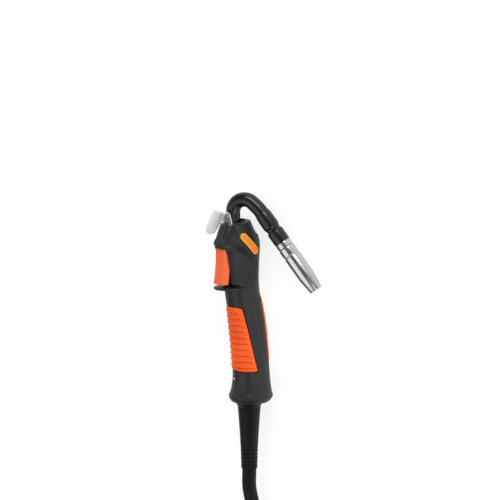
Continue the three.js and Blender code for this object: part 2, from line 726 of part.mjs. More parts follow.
const BLACK_SHELL = material(0x3c3c3c, 0.7);
const BLACK_GLOSSY = material(0x161616, 0.3);
const BLACK_RUBBER = material(0x1d1d1d, 0.6);
const ORANGE = material(0xf2500f, 0.55);
const STEEL = material(0xd9d9d9, 0.25, 1);
const NICKEL = material(0xc9c9c6, 0.3, 1);
const BRASS = material(0xc9a24b, 0.3, 1);
const COPPER = material(0xc77b52, 0.3, 1);
const WHITE_WIRE = material(0xdddddd, 0.5);
const RED_WIRE = material(0xb3201a, 0.5);

const object = new THREE.Group();

function add(parent, name, geometry, look) {
  const mesh = new THREE.Mesh(closed(geometry), look);
  mesh.name = name;
  parent.add(mesh);
  return mesh;
}

// A group whose +z runs along a direction from a point.
function aimed(parent, point, direction) {
  const group = new THREE.Group();
  group.position.copy(point);
  group.quaternion.setFromUnitVectors(vec(0, 0, 1), direction.clone().normalize());
  parent.add(group);
  return group;
}

function layTorch() {
  const bench = new THREE.Group();
  bench.position.copy(TORCH_PLACE);
  bench.rotation.x = -REST_PITCH;
  const torch = new THREE.Group();
  const front = vec(-Math.sin(REST_ROLL), 0, Math.cos(REST_ROLL));
  const left = vec(Math.cos(REST_ROLL), 0, Math.sin(REST_ROLL));
  torch.quaternion.setFromRotationMatrix(new THREE.Matrix4().makeBasis(front, left, vec(0, 1, 0)));
  bench.add(torch);
  object.add(bench);
  return torch;
}

function addHandle(torch) {
  const { left, right } = shells();
  add(torch, 'left_shell', left, BLACK_SHELL);
  add(torch, 'right_shell', right, BLACK_SHELL);
  add(torch, 'front_grip', frontGrip(), ORANGE);
  add(torch, 'back_grip', backGrip(), ORANGE);
  add(torch, 'left_badge', geometryOf(badge()), ORANGE);
  add(torch, 'right_badge', geometryOf(mirrored(badge())), ORANGE);
  add(torch, 'hook', hook(), STEEL);
  add(torch, 'neck_socket', neckSocket(), BRASS);
  add(torch, 'ball_seat', ballSeat(), BLACK_RUBBER);
  add(torch, 'inner_cable', innerCable(), BLACK_RUBBER);
  add(torch, 'switch_body', switchBody(), BLACK_GLOSSY);
  add(torch, 'switch_wire_white', switchWire(1), WHITE_WIRE);
  add(torch, 'switch_wire_red', switchWire(-1), RED_WIRE);
  for (const { name, x, z } of SHELL_SCREWS) {
    add(torch, name, acrossAt(screw(-14.6, -12.3, 8.4), x, z), STEEL);
  }
  const stud = rod(1.35, 0, 4, 12).rotateY(Math.PI / 2).translate(13, -5, 27);
  add(torch, 'front_stud', stud, STEEL);
  const pin = rod(TRIGGER_PIN.radius, -TRIGGER_PIN.half, TRIGGER_PIN.half, 12);
  add(torch, 'trigger_pin', acrossAt(pin, TRIGGER_PIN.x, TRIGGER_PIN.z), STEEL);
  add(torch, 'trigger', trigger(), ORANGE);
  add(torch, 'trigger_spring', triggerSpring(), STEEL);
  add(torch, 'switch_plunger', switchPlunger(), BLACK_GLOSSY);
}

function addNeck(torch) {
  const cover = neckLine(NECK_FOOT, SLEEVE_FROM - GAP);
  const conductor = neckLine(NECK_FOOT + 0.6, 4);
  const coverBore = NECK_TUBE_RADIUS + GAP + 0.2;
  add(torch, 'neck_cover', tube(cover, NECK_RADIUS, 14, 20, coverBore, 10), BLACK_GLOSSY);
  add(torch, 'neck_tube', tube(conductor, NECK_TUBE_RADIUS, 10, 26, 1.8, 5), BRASS);
  const axis = aimed(torch, COLLAR_END, NOZZLE_AXIS);
  add(axis, 'neck_sleeve', neckSleeve(), BLACK_GLOSSY);
  add(axis, 'neck_insulator', neckInsulator(), BLACK_GLOSSY);
  add(axis, 'nozzle_seat', ring(NECK_TUBE_RADIUS + GAP, 8.6, GAP, SEAT_END, 20), NICKEL);
  add(axis, 'tip_holder', tipHolder(), BRASS);
  add(axis, 'nozzle_spring', nozzleSpring(), STEEL);
  add(axis, 'contact_tip', contactTip(), COPPER);
  add(axis, 'gas_nozzle', gasNozzle(), NICKEL);
}

function addCable(torch) {
  object.updateMatrixWorld(true);
  const ball = torch.localToWorld(vec(0, 0, BALL_HEIGHT));
  const out = vec(0, -Math.cos(SUPPORT_DROOP), -Math.sin(SUPPORT_DROOP));
  out.applyAxisAngle(vec(0, 0, 1), SUPPORT_SWING);
  add(aimed(object, ball, out), 'cable_support', cableSupport(), BLACK_RUBBER);

  const exit = ball.clone().addScaledVector(out, SUPPORT_LENGTH + GAP);
  const outerTurn = COIL_RADIUS + TURN_PITCH;
  const centre = vec(exit.x + outerTurn, ball.y - COIL_CENTRE_BACK, 0);
  const entry = vec(centre.x - outerTurn, centre.y, LOW_LAYER);
  const lead = leadRoute(exit, out, entry);
  const ringSpace = solid(coilRingSpace().translate(centre.x, centre.y, 0));
  const cableTube = (points) => geometryOf(solid(tube(points, CABLE_RADIUS, 10, 14)).subtract(ringSpace));
  add(object, 'cable_lead', cableTube(lead), BLACK_RUBBER);
  add(object, 'cable_coil', coilRing().translate(centre.x, centre.y, 0), BLACK_RUBBER);
  add(object, 'coil_tie', coilTie().rotateZ(TIE_ANGLE).translate(centre.x, centre.y, 0), BLACK_SHELL);

  const plugPoint = vec(centre.x + PLUG_OFFSET.x, centre.y + PLUG_OFFSET.y, PLUG_OFFSET.z);
  add(object, 'cable_tail', cableTube(tailRoute(centre, plugPoint)), BLACK_RUBBER);
  addPlug(aimed(object, plugPoint, vec(1, 0, 0)));
}

function addPlug(plug) {
  add(plug, 'rear_support', rearSupport(), BLACK_RUBBER);
  add(plug, 'plug_housing', plugHousing(), BLACK_SHELL);
  add(plug, 'plug_body', plugBody(), BRASS);
  add(plug, 'plug_nut', plugNut(), BLACK_SHELL);
  add(plug, 'wire_inlet', wireInlet(), BRASS);
  add(plug, 'inlet_seal', inletSeal(), BLACK_RUBBER);
  add(plug, 'gas_nipple', gasNipple(), BRASS);
  PLUG_PIN_OFFSETS.forEach((x, i) => {
    add(plug, `control_pin_${i + 1}`, controlPin().translate(x, 0, 0), BRASS);
  });
}

const torchGroup = layTorch();
addHandle(torchGroup);
addNeck(torchGroup);
addCable(torchGroup);

export default object;
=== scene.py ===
import json
from math import atan, copysign, cos, exp, pi, radians, sin, sqrt, tan

import bmesh
import bpy
from mathutils import Matrix, Vector


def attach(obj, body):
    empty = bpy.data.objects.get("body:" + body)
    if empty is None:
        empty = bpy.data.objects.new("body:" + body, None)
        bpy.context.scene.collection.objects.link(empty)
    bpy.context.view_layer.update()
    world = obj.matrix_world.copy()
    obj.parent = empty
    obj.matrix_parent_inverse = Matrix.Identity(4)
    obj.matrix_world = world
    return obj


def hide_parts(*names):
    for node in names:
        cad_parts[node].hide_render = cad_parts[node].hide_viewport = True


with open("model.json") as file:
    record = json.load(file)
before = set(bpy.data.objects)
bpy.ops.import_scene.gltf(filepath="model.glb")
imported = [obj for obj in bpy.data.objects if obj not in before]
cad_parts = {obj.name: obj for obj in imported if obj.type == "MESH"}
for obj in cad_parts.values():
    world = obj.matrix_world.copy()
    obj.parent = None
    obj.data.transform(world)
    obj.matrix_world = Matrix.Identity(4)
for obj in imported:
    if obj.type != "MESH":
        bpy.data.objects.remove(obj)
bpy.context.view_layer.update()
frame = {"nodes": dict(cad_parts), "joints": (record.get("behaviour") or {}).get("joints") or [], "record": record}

# A MIG welding torch on a pale bench, its cable coiled out of view behind it.
# Shapes are drawn in millimetres in the torch's own frame (x to the trigger side, y to the left,
# z from the cable end to the neck) and carried to the shared frame by a matrix.

MM = 0.001
GAP = 0.3
SHARP_EDGE = 40  # degrees
CRISP = 0.01  # the corner radius of cutters
FAR = 200  # past every edge of the torch

# ---- frames, read from the joints

JOINTS = {joint["name"]: joint for joint in frame["joints"]}
UP_HANDLE = Vector(JOINTS["neck_swivel"]["axis"]).normalized()
TO_LEFT = Vector(JOINTS["trigger_pull"]["axis"]).normalized()
TO_FRONT = TO_LEFT.cross(UP_HANDLE).normalized()
NECK_X = 20.6
NECK_JOINT_HEIGHT = 190.0
TORCH_ORIGIN = (
    Vector(JOINTS["neck_swivel"]["pos_m"])
    - TO_FRONT * NECK_X * MM
    - UP_HANDLE * NECK_JOINT_HEIGHT * MM
)


def frame_matrix(origin, x_axis, y_axis, z_axis):
    """A matrix from millimetres along three unit axes to the shared frame in metres."""
    rotation = Matrix((x_axis, y_axis, z_axis)).transposed().to_4x4()
    return Matrix.Translation(origin) @ rotation @ Matrix.Scale(MM, 4)


def aimed_matrix(origin, direction):
    """The frame whose z runs along a direction, turned the short way from the shared z."""
    turn = Vector((0, 0, 1)).rotation_difference(direction).to_matrix().to_4x4()
    return Matrix.Translation(origin) @ turn @ Matrix.Scale(MM, 4)


TORCH = frame_matrix(TORCH_ORIGIN, TO_FRONT, TO_LEFT, UP_HANDLE)

# ---- camera

VIEW_TURN = radians(37)
VIEW_RISE = radians(9)
VIEW_DISTANCE = 3.5
VIEW_SPAN = 0.525
VIEW_CENTRE = (0.0009, 0.1607)
SENSOR = 36.0


def new_object(name, data):
    made = bpy.data.objects.new(name, data)
    bpy.context.scene.collection.objects.link(made)
    return made


def make_camera():
    """Looks at the torch's left front, a little from the neck end, with the handle upright."""
    sideways = sin(VIEW_TURN) * TO_FRONT + cos(VIEW_TURN) * TO_LEFT
    right = -cos(VIEW_TURN) * TO_FRONT + sin(VIEW_TURN) * TO_LEFT
    up = cos(VIEW_RISE) * UP_HANDLE - sin(VIEW_RISE) * sideways
    back = cos(VIEW_RISE) * sideways + sin(VIEW_RISE) * UP_HANDLE
    target = TORCH_ORIGIN + right * VIEW_CENTRE[0] + up * VIEW_CENTRE[1]
    data = bpy.data.cameras.new("camera")
    data.sensor_width = SENSOR
    data.lens = SENSOR * VIEW_DISTANCE / VIEW_SPAN
    camera = new_object("camera", data)
    rotation = Matrix((right, up, back)).transposed().to_4x4()
    camera.matrix_world = Matrix.Translation(target + back * VIEW_DISTANCE) @ rotation
    bpy.context.scene.camera = camera


make_camera()

# ---- mesh helpers


def mesh_piece(name, points, faces, matrix, sharp=SHARP_EDGE):
    """A smooth-shaded mesh from millimetre points, with edges sharper than an angle kept crisp."""
    mesh = bpy.data.meshes.new(name)
    mesh.from_pydata([tuple(matrix @ Vector(p)) for p in points], [], faces)
    tidy = bmesh.new()
    tidy.from_mesh(mesh)
    bmesh.ops.recalc_face_normals(tidy, faces=tidy.faces)
    tidy.to_mesh(mesh)
    tidy.free()
    shade(mesh, sharp)
    return new_object(name, mesh)


def shade(mesh, sharp):
    mesh.shade_smooth()
    mesh.set_sharp_from_angle(angle=radians(sharp))


def bridge(rings, looped=False):
    """Faces between rings of equal length, with a face over each end unless they loop."""
    count = len(rings[0])
    points = [p for ring in rings for p in ring]
    faces = []
    last = len(rings) if looped else len(rings) - 1
    for level in range(last):
        below = level * count
        above = ((level + 1) % len(rings)) * count
        for i in range(count):
            j = (i + 1) % count
            faces.append((below + i, below + j, above + j, above + i))
    if not looped:
        faces.append(tuple(reversed(range(count))))
        faces.append(tuple(range(last * count, last * count + count)))
    return points, faces


def loft(name, rings, matrix, sharp=SHARP_EDGE, looped=False):
    """A piece whose skin runs through rings of equal length."""
    points, faces = bridge(rings, looped)
    return mesh_piece(name, points, faces, matrix, sharp)


def circle(sides):
    """The angle, cosine and sine of equal steps round a circle."""
    angles = [2 * pi * i / sides for i in range(sides)]
    return [(angle, cos(angle), sin(angle)) for angle in angles]


def rounded(profile, radius, steps=3):
    """An open profile of (radius, height) points with each inner corner rounded."""
    result = [profile[0]]
    for before, corner, after in zip(profile, profile[1:], profile[2:]):
        a, c, b = Vector(before), Vector(corner), Vector(after)
        reach = min(radius, (a - c).length * 0.45, (b - c).length * 0.45)
        start = c + (a - c).normalized() * reach
        end = c + (b - c).normalized() * reach
        for i in range(steps + 1):
            t = i / steps
            point = start * (1 - t) ** 2 + c * 2 * t * (1 - t) + end * t**2
            result.append(tuple(point))
    result.append(profile[-1])
    return result


def turned(name, profile, matrix, sides=64, fillet=0.3, wave=None):
    """A turned piece from (radius, height) points; it closes on the axis or on its own start."""
    ring_shaped = profile[0][0] > 0
    outline = rounded(profile + profile[:2] if ring_shaped else profile, fillet)
    if ring_shaped:
        outline = outline[1:-1]
    rings = []
    for radius, height in outline:
        ring = []
        for angle, c, s in circle(sides):
            reach = max(radius, 0.01) + (wave(angle, radius, height) if wave else 0.0)
            ring.append((reach * c, reach * s, height))
        rings.append(ring)
    return loft(name, rings, matrix, looped=ring_shaped)


def smooth_route(points, spacing):
    """Points a given distance apart on a centripetal spline through given points."""
    points = [Vector(p) for p in points]
    first = points[0] * 2 - points[1]
    last = points[-1] * 2 - points[-2]
    padded = [first] + points + [last]
    route = []
    for p0, p1, p2, p3 in zip(padded, padded[1:], padded[2:], padded[3:]):
        knots = [0.0]
        for a, b in ((p0, p1), (p1, p2), (p2, p3)):
            knots.append(knots[-1] + sqrt((b - a).length))
        steps = max(2, round((p2 - p1).length / spacing))
        for i in range(steps):
            t = knots[1] + (knots[2] - knots[1]) * i / steps
            route.append(_on_spline((p0, p1, p2, p3), knots, t))
    route.append(points[-1])
    return route


def _on_spline(p, k, t):
    def between(a, b, ka, kb):
        return a * ((kb - t) / (kb - ka)) + b * ((t - ka) / (kb - ka))

    a1 = between(p[0], p[1], k[0], k[1])
    a2 = between(p[1], p[2], k[1], k[2])
    a3 = between(p[2], p[3], k[2], k[3])
    b1 = between(a1, a2, k[0], k[2])
    b2 = between(a2, a3, k[1], k[3])
    return between(b1, b2, k[1], k[2])


def swept(name, line, radius_at, matrix, sides):
    """A tube along a line of points; radius_at(how far along, angle) gives its radius."""
    rings = []
    side = None
    for i, point in enumerate(line):
        ahead = line[min(i + 1, len(line) - 1)]
        behind = line[max(i - 1, 0)]
        along = (ahead - behind).normalized()
        if side is None:
            side = along.orthogonal().normalized()
        side = (side - along * side.dot(along)).normalized()
        other = along.cross(side)
        ring = []
        for angle, c, s in circle(sides):
            reach = radius_at(i / (len(line) - 1), angle)
            ring.append(tuple(point + side * reach * c + other * reach * s))
        rings.append(ring)
    return loft(name, rings, matrix)


def carve(piece, cutter, operation="DIFFERENCE"):
    """Cuts, joins or keeps what is common, and throws the cutter away."""
    modifier = piece.modifiers.new("carve", "BOOLEAN")
    modifier.operation = operation
    modifier.solver = "MANIFOLD"
    modifier.object = cutter
    bpy.context.view_layer.update()
    evaluated = piece.evaluated_get(bpy.context.evaluated_depsgraph_get())
    result = bpy.data.meshes.new_from_object(evaluated)
    piece.modifiers.clear()
    old = piece.data
    piece.data = result
    bpy.data.meshes.remove(old)
    shade(piece.data, SHARP_EDGE)
    bpy.data.objects.remove(cutter)
    return piece


def block(name, low, high, matrix):
    x, y, z = zip(low, high)
    points = [(a, b, c) for a in x for b in y for c in z]
    faces = [(0, 1, 3, 2), (4, 6, 7, 5), (0, 4, 5, 1), (2, 3, 7, 6), (0, 2, 6, 4), (1, 5, 7, 3)]
    return mesh_piece(name, points, faces, matrix)


# ---- finishes


def set_inputs(node, values):
    for socket, value in values.items():
        node.inputs[socket].default_value = value


class Finish:
    """Builds one procedural material: tone, roughness and relief that vary over the surface."""

    def __init__(self, name, color, roughness, metallic=0.0):
        self.material = bpy.data.materials.new(name)
        self.material.use_nodes = True
        self.material.diffuse_color = (*color, 1)
        self.nodes = self.material.node_tree.nodes
        self.links = self.material.node_tree.links
        self.shader = self.nodes["Principled BSDF"]
        look = {"Base Color": (*color, 1), "Roughness": roughness, "Metallic": metallic}
        set_inputs(self.shader, look)
        self.place = self.nodes.new("ShaderNodeTexCoord").outputs["Object"]
        self.color = color
        self.roughness = roughness
        self.relief = None

    def noise(self, scale, detail=3.0, stretch=(1, 1, 1), turn=(0, 0, 0)):
        mapping = self.nodes.new("ShaderNodeMapping")
        set_inputs(mapping, {"Scale": stretch, "Rotation": turn})
        texture = self.nodes.new("ShaderNodeTexNoise")
        set_inputs(texture, {"Scale": scale, "Detail": detail})
        self.links.new(self.place, mapping.inputs["Vector"])
        self.links.new(mapping.outputs["Vector"], texture.inputs["Vector"])
        return texture.outputs["Fac"]

    def ranged(self, value, from_low, from_high, to_low, to_high):
        node = self.nodes.new("ShaderNodeMapRange")
        ends = {"From Min": from_low, "From Max": from_high, "To Min": to_low, "To Max": to_high}
        set_inputs(node, ends)
        self.links.new(value, node.inputs["Value"])
        return node.outputs["Result"]

    def added(self, a, b):
        node = self.nodes.new("ShaderNodeMath")
        self.links.new(a, node.inputs[0])
        self.links.new(b, node.inputs[1])
        return node.outputs["Value"]

    def mixed(self, share, dark, light):
        node = self.nodes.new("ShaderNodeMix")
        node.data_type = "RGBA"
        self.links.new(share, node.inputs[0])
        node.inputs[7].default_value = (*light, 1)
        if isinstance(dark, tuple):
            node.inputs[6].default_value = (*dark, 1)
        else:
            self.links.new(dark, node.inputs[6])
        return node.outputs[2]

    def tone(self, spread, scale, worn):
        """Broad patches a little lighter and darker, with fine rubbed specks."""
        dark = tuple(c * (1 - spread) for c in self.color)
        light = tuple(min(c * (1 + spread), 1) for c in self.color)
        patches = self.ranged(self.noise(scale), 0.3, 0.7, 0, 1)
        base = self.mixed(patches, dark, light)
        rubbed = tuple(min(c * (1 + worn) + worn * 0.04, 1) for c in self.color)
        specks = self.ranged(self.noise(scale * 22, 5.0), 0.62, 0.72, 0, 1)
        self.links.new(self.mixed(specks, base, rubbed), self.shader.inputs["Base Color"])
        return self

    def smudges(self, spread):
        """Roughness that wanders, as handling leaves it."""
        low, high = self.roughness - spread, self.roughness + spread
        cloudy = self.ranged(self.noise(45.0, 4.0), 0.3, 0.7, low, high)
        fine = self.ranged(self.noise(810.0, 3.0), 0.35, 0.65, -spread / 3, spread / 3)
        self.links.new(self.added(cloudy, fine), self.shader.inputs["Roughness"])
        return self

    def bump(self, scale, height, stretch=(1, 1, 1), turn=(0, 0, 0)):
        """Relief of a given height in metres."""
        node = self.nodes.new("ShaderNodeBump")
        node.inputs["Distance"].default_value = height
        self.links.new(self.noise(scale, 2.0, stretch, turn), node.inputs["Height"])
        if self.relief:
            self.links.new(self.relief, node.inputs["Normal"])
        self.relief = node.outputs["Normal"]
        self.links.new(self.relief, self.shader.inputs["Normal"])
        return self


# Colour, roughness, metal or not, level of the sheen; then spread, scale and wear of the tone,
# the spread of the smudges, and each relief.
FINISH_TABLE = {
    "shell_black": (
        (0.015, 0.015, 0.016), 0.44, 0, 0.34, (0.1, 25, 0.12), 0.05, (3200, 0.000012), (60, 0.0001)
    ),
    "gloss_black": (
        (0.006, 0.006, 0.007), 0.27, 0, 0.42, (0.15, 40, 0.12), 0.05, (90, 0.0001), (1500, 0.000004)
    ),
    "rubber_black": (
        (0.005, 0.005, 0.0055), 0.5, 0, 0.18, (0.12, 35, 0.25), 0.06, (1300, 0.00002), (70, 0.0002)
    ),
    "orange_grip": (
        (0.95, 0.11, 0.007), 0.55, 0, 0.3, (0.09, 30, 0.06), 0.06, (2400, 0.00001), (80, 0.0001)
    ),
    # The rib-end dots' lighter orange is a painted highlight, standing in for the light their round bumps catch.
    "orange_dots_painted_highlight": ((0.97, 0.32, 0.08), 0.4, 0, 0.5, (0.05, 60, 0.05), 0.05, (2000, 0.00003)),
    "orange_trigger": (
        (0.99, 0.14, 0.03), 0.42, 0, 0.4, (0.05, 35, 0.05), 0.05, (1800, 0.00001), (60, 0.0001)
    ),
    "orange_badge": ((0.99, 0.235, 0.008), 0.42, 0, 0.5, (0.06, 45, 0.05), 0.06, (1500, 0.00002)),
    "badge_rim": ((1.0, 0.42, 0.05), 0.4, 0, 0.5, (0.05, 45, 0.05), 0.06, (1500, 0.00002)),
    "steel_bright": (
        (0.74, 0.74, 0.74), 0.3, 1, 0.5, (0.03, 50, 0.02), 0.05,
        (300, 0.000004, (1, 9, 1), (0.3, 0.2, 0)),
    ),
    "nickel_satin": (
        (0.5, 0.495, 0.485), 0.24, 1, 0.5, (0.04, 60, 0.02), 0.03,
        (300, 0.000001, (1, 12, 1), (0, 0, 0.6)),
    ),
    "brass": ((0.64, 0.42, 0.14), 0.27, 1, 0.5, (0.12, 70, 0.06), 0.08, (900, 0.00001)),
    "copper": ((0.62, 0.28, 0.15), 0.3, 1, 0.5, (0.14, 80, 0.06), 0.09, (900, 0.00001)),
    "wire_white": ((0.7, 0.7, 0.68), 0.45, 0, 0.5, (0.06, 80, 0.12), 0.06, (1500, 0.00003)),
    "wire_red": ((0.42, 0.02, 0.015), 0.45, 0, 0.5, (0.08, 80, 0.12), 0.06, (1500, 0.00003)),
}


def make_finish(name):
    color, roughness, metallic, sheen, tone, spread, *reliefs = FINISH_TABLE[name]
    finish = Finish(name, color, roughness, metallic).tone(*tone).smudges(spread)
    set_inputs(finish.shader, {"Specular IOR Level": sheen})
    for relief in reliefs:
        finish.bump(*relief)
    return finish


FINISHES = {name: make_finish(name) for name in FINISH_TABLE}
BODY_OF = {
    node: body for body, nodes in frame["record"]["behaviour"]["bodies"].items() for node in nodes
}
SLOT_OF = {part["node"]: part["material_slot"] for part in frame["record"]["subparts"]}


def paint(piece, finish):
    piece.data.materials.clear()
    piece.data.materials.append(FINISHES[finish].material)


def dress(piece, *nodes, finish=None):
    """Paints a piece like the CAD nodes it stands for, and lets it ride on their body."""
    slot = SLOT_OF[nodes[0]]
    paint(piece, finish or slot)
    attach(piece, BODY_OF[nodes[0]])
    return piece


def stands_for(piece, *nodes, finish=None):
    dress(piece, *nodes, finish=finish)
    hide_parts(*nodes)
    return piece


# ---- bench and light

FLOOR_HALF = 6.0
FLOOR_TONE = (0.3, 0.3, 0.3)
FLOOR_GLOW = 0.8
WORLD_GLOW = 0.12
LIGHT_AIM = (0, 0, 0.03)


def make_bench():
    mesh = bpy.data.meshes.new("bench")
    corners = [(-1, -1), (1, -1), (1, 1), (-1, 1)]
    mesh.from_pydata([(x * FLOOR_HALF, y * FLOOR_HALF, 0) for x, y in corners], [], [(0, 1, 2, 3)])
    bench = new_object("bench", mesh)
    finish = Finish("bench", FLOOR_TONE, 0.85).tone(0.01, 3, 0.0).smudges(0.04).bump(900, 0.00004)
    glow = {"Emission Color": (1, 1, 1, 1), "Emission Strength": FLOOR_GLOW}
    set_inputs(finish.shader, glow)
    mesh.materials.append(finish.material)


def area_light(name, place, aim, size, watts):
    data = bpy.data.lights.new(name, "AREA")
    data.shape = "RECTANGLE"
    data.size, data.size_y = size
    data.energy = watts
    lamp = new_object(name, data)
    lamp.location = place
    lamp.rotation_euler = (Vector(aim) - Vector(place)).to_track_quat("-Z", "Y").to_euler()
    lamp.visible_camera = False


def make_light():
    world = bpy.data.worlds.new("studio")
    world.use_nodes = True
    sky = {"Color": (1, 1, 1, 1), "Strength": WORLD_GLOW}
    set_inputs(world.node_tree.nodes["Background"], sky)
    bpy.context.scene.world = world
    bpy.context.scene.view_settings.view_transform = "Standard"
    area_light("overhead", (-0.55, -0.35, 1.45), (0, 0, 0), (1.7, 1.7), 13)
    area_light("low_strip", (1.25, 0.76, 0.42), LIGHT_AIM, (0.9, 0.5), 1.3)
    area_light("neck_panel", (0.75, 1.5, 0.85), LIGHT_AIM, (1.2, 0.8), 22)
    area_light("left_panel", (-1.4, 0.45, 0.6), LIGHT_AIM, (1.2, 1.1), 3)
    area_light("right_panel", (1.25, -0.45, 0.7), LIGHT_AIM, (0.9, 1.3), 7)


make_bench()
make_light()

# ---- the handle's form

# Height, centre towards the front, half depth, half width, squareness.
HANDLE_SECTIONS = [
    (0.6, -0.7, 16.4, 16.2, 2.3),
    (3.0, -1.5, 20.2, 19.2, 2.3),
    (8.0, -2.2, 23.2, 21.5, 2.3),
    (13.0, -2.55, 21.9, 20.3, 2.3),
    (19.0, -2.8, 20.4, 18.9, 2.4),
    (30.0, -2.75, 19.2, 17.8, 2.4),
    (46.0, -1.7, 18.9, 17.5, 2.5),
    (67.0, 0.1, 18.9, 17.5, 2.5),
    (88.0, 2.9, 18.9, 17.5, 2.5),
    (105.0, 5.8, 18.4, 17.1, 2.5),
    (118.0, 8.8, 17.8, 16.5, 2.5),
    (134.0, 11.2, 18.6, 17.0, 2.5),
    (150.0, 12.8, 20.2, 18.2, 2.5),
    (161.0, 14.6, 22.6, 19.3, 2.5),
    (169.0, 16.0, 24.4, 20.0, 2.5),
    (177.0, 16.2, 22.9, 19.6, 2.6),
    (185.5, 17.5, 18.6, 17.4, 2.8),
    (193.0, 17.5, 14.9, 14.8, 3.0),
    (198.5, 17.5, 13.2, 13.4, 3.0),
]
HANDLE_LOW, HANDLE_HIGH = 0.6, 198.5
HOLLOW_LOW, HOLLOW_HIGH = 3.2, 189.5
WALL = 2.6
TOP_HEIGHT = 196.4
TOP_SLOPE = 0.137
RIDGE_X, RIDGE_HEIGHT = 5.0, 158.6
HEAD_STEP = 3.3
LIP_REACH = 0.6
BROW_REACH, BROW_HEIGHT = 2.4, 173.8
FLANK_DEPTH = 3.0
CHEEK_REACH = 2.6
CREASE_DEPTH = 0.9
GRIP_DEPTH = 1.5
GRIP_PROUD = 0.28
GROOVE = 0.75
RIM_TRIM = 0.2
SHELL_TRIM = 0.16


def smooth(t):
    t = min(max(t, 0.0), 1.0)
    return t * t * (3 - 2 * t)


def section_at(height):
    """Section values at a height, on smooth curves through the listed sections."""
    last = len(HANDLE_SECTIONS) - 1
    k = 0
    while k < last - 1 and height > HANDLE_SECTIONS[k + 1][0]:
        k += 1
    before = HANDLE_SECTIONS[max(k - 1, 0)]
    start = HANDLE_SECTIONS[k]
    stop = HANDLE_SECTIONS[k + 1]
    after = HANDLE_SECTIONS[min(k + 2, last)]
    span = stop[0] - start[0]
    t = min(max((height - start[0]) / span, 0.0), 1.0)
    values = []
    for b, a, c, d in zip(before, start, stop, after):
        slope_in = (c - b) / (stop[0] - before[0]) * span
        slope_out = (d - a) / (after[0] - start[0]) * span
        values.append(
            (2 * t**3 - 3 * t**2 + 1) * a
            + (t**3 - 2 * t**2 + t) * slope_in
            + (3 * t**2 - 2 * t**3) * c
            + (t**3 - t**2) * slope_out
        )
    return values


def eased(t):
    """A straight ramp from 0 to 1 with only its corners rounded."""
    t = min(max(t, 0.0), 1.0)
    return min(max((t - 0.5) * 1.12 + 0.5, 0.0), 1.0) * 0.75 + smooth(t) * 0.25


def ridge_height(x):
    """The line in side view that slopes down from the front of the head to its back."""
    return RIDGE_HEIGHT + (0.67 if x > RIDGE_X else 1.2) * (x - RIDGE_X)


def head_step(x, height):
    """How far the sides of the head step in below that line."""
    below = eased((ridge_height(x) - height) / 8.0)
    return HEAD_STEP * below * smooth((x + 2.0) / 14.0) * smooth((height - 124.0) / 26.0)


def ridge_lip(x, height):
    """A narrow raised edge along it."""
    above = (height - ridge_height(x) - 0.5) / 0.8
    return LIP_REACH * exp(-(above**2)) * smooth((x + 3.0) / 7.0)


def nose_push(x, y, height):
    """Forward shift that leaves a rounded brow over the trigger between two hollow flanks."""
    nose = 1 - smooth((abs(y) - 6.0) / 3.6)
    brow = BROW_REACH * exp(-(((height - BROW_HEIGHT) / 3.8) ** 2)) * nose
    span = smooth((height - 168.0) / 6.0) * smooth((196.0 - height) / 6.0)
    flank = -FLANK_DEPTH * (1 - nose) * span
    cheek = CHEEK_REACH * smooth((height - 127.5) / 3.0) * smooth((163.0 - height) / 12.0)
    return (brow + flank) * smooth((x - 25.0) / 8.0) + cheek * smooth((x - 14.0) / 12.0)


def side_crease(x, height):
    """A soft crease down each side, behind the front grip."""
    line = -9.5 + (height - 38.0) * 0.2176
    ends = smooth((height - 30.0) / 14.0) * smooth((118.0 - height) / 12.0)
    hollow = smooth((line + 0.5 - x) / 1.0) * exp(-max(line - x, 0.0) / 6.0)
    return -CREASE_DEPTH * hollow * ends


def side_form(x, height):
    """What the ridge, its step and the crease add to the handle's half width."""
    return ridge_lip(x, height) - head_step(x, height) + side_crease(x, height)


def handle_point(height, angle, offset):
    """A place on the handle's skin, pushed out by a number or a function of the place."""
    _, centre, depth, width, squareness = section_at(height)
    c, s = cos(angle), sin(angle)
    power = 2 / squareness
    forward = copysign(abs(c) ** power, c)
    x = centre + depth * forward
    reach = offset(x, height) if callable(offset) else offset
    x += reach * forward
    y = (width + reach + side_form(x, height)) * copysign(abs(s) ** power, s)
    return (x + nose_push(x, y, height), y, height)


def surface_side(x, height):
    """How far from the middle plane the handle's side is at a place in side view."""
    _, centre, depth, width, squareness = section_at(height)
    share = min(abs(x - centre) / depth, 1.0)
    return (width + side_form(x, height)) * (1 - share**squareness) ** (1 / squareness)


def handle_loft(name, low, high, levels, sides, offset, dense=None):
    """The handle between two heights, pushed out by an offset; dense is a finely cut stretch."""
    heights = [low + (high - low) * level / levels for level in range(levels + 1)]
    if dense:
        start, stop, count = dense
        heights = [h for h in heights if not start <= h <= stop]
        heights += [start + (stop - start) * i / count for i in range(count + 1)]
        heights.sort()
    rings = []
    for height in heights:
        rings.append([handle_point(height, 2 * pi * i / sides, offset) for i in range(sides)])
    return loft(name, rings, TORCH)


# ---- grips, badges and shells

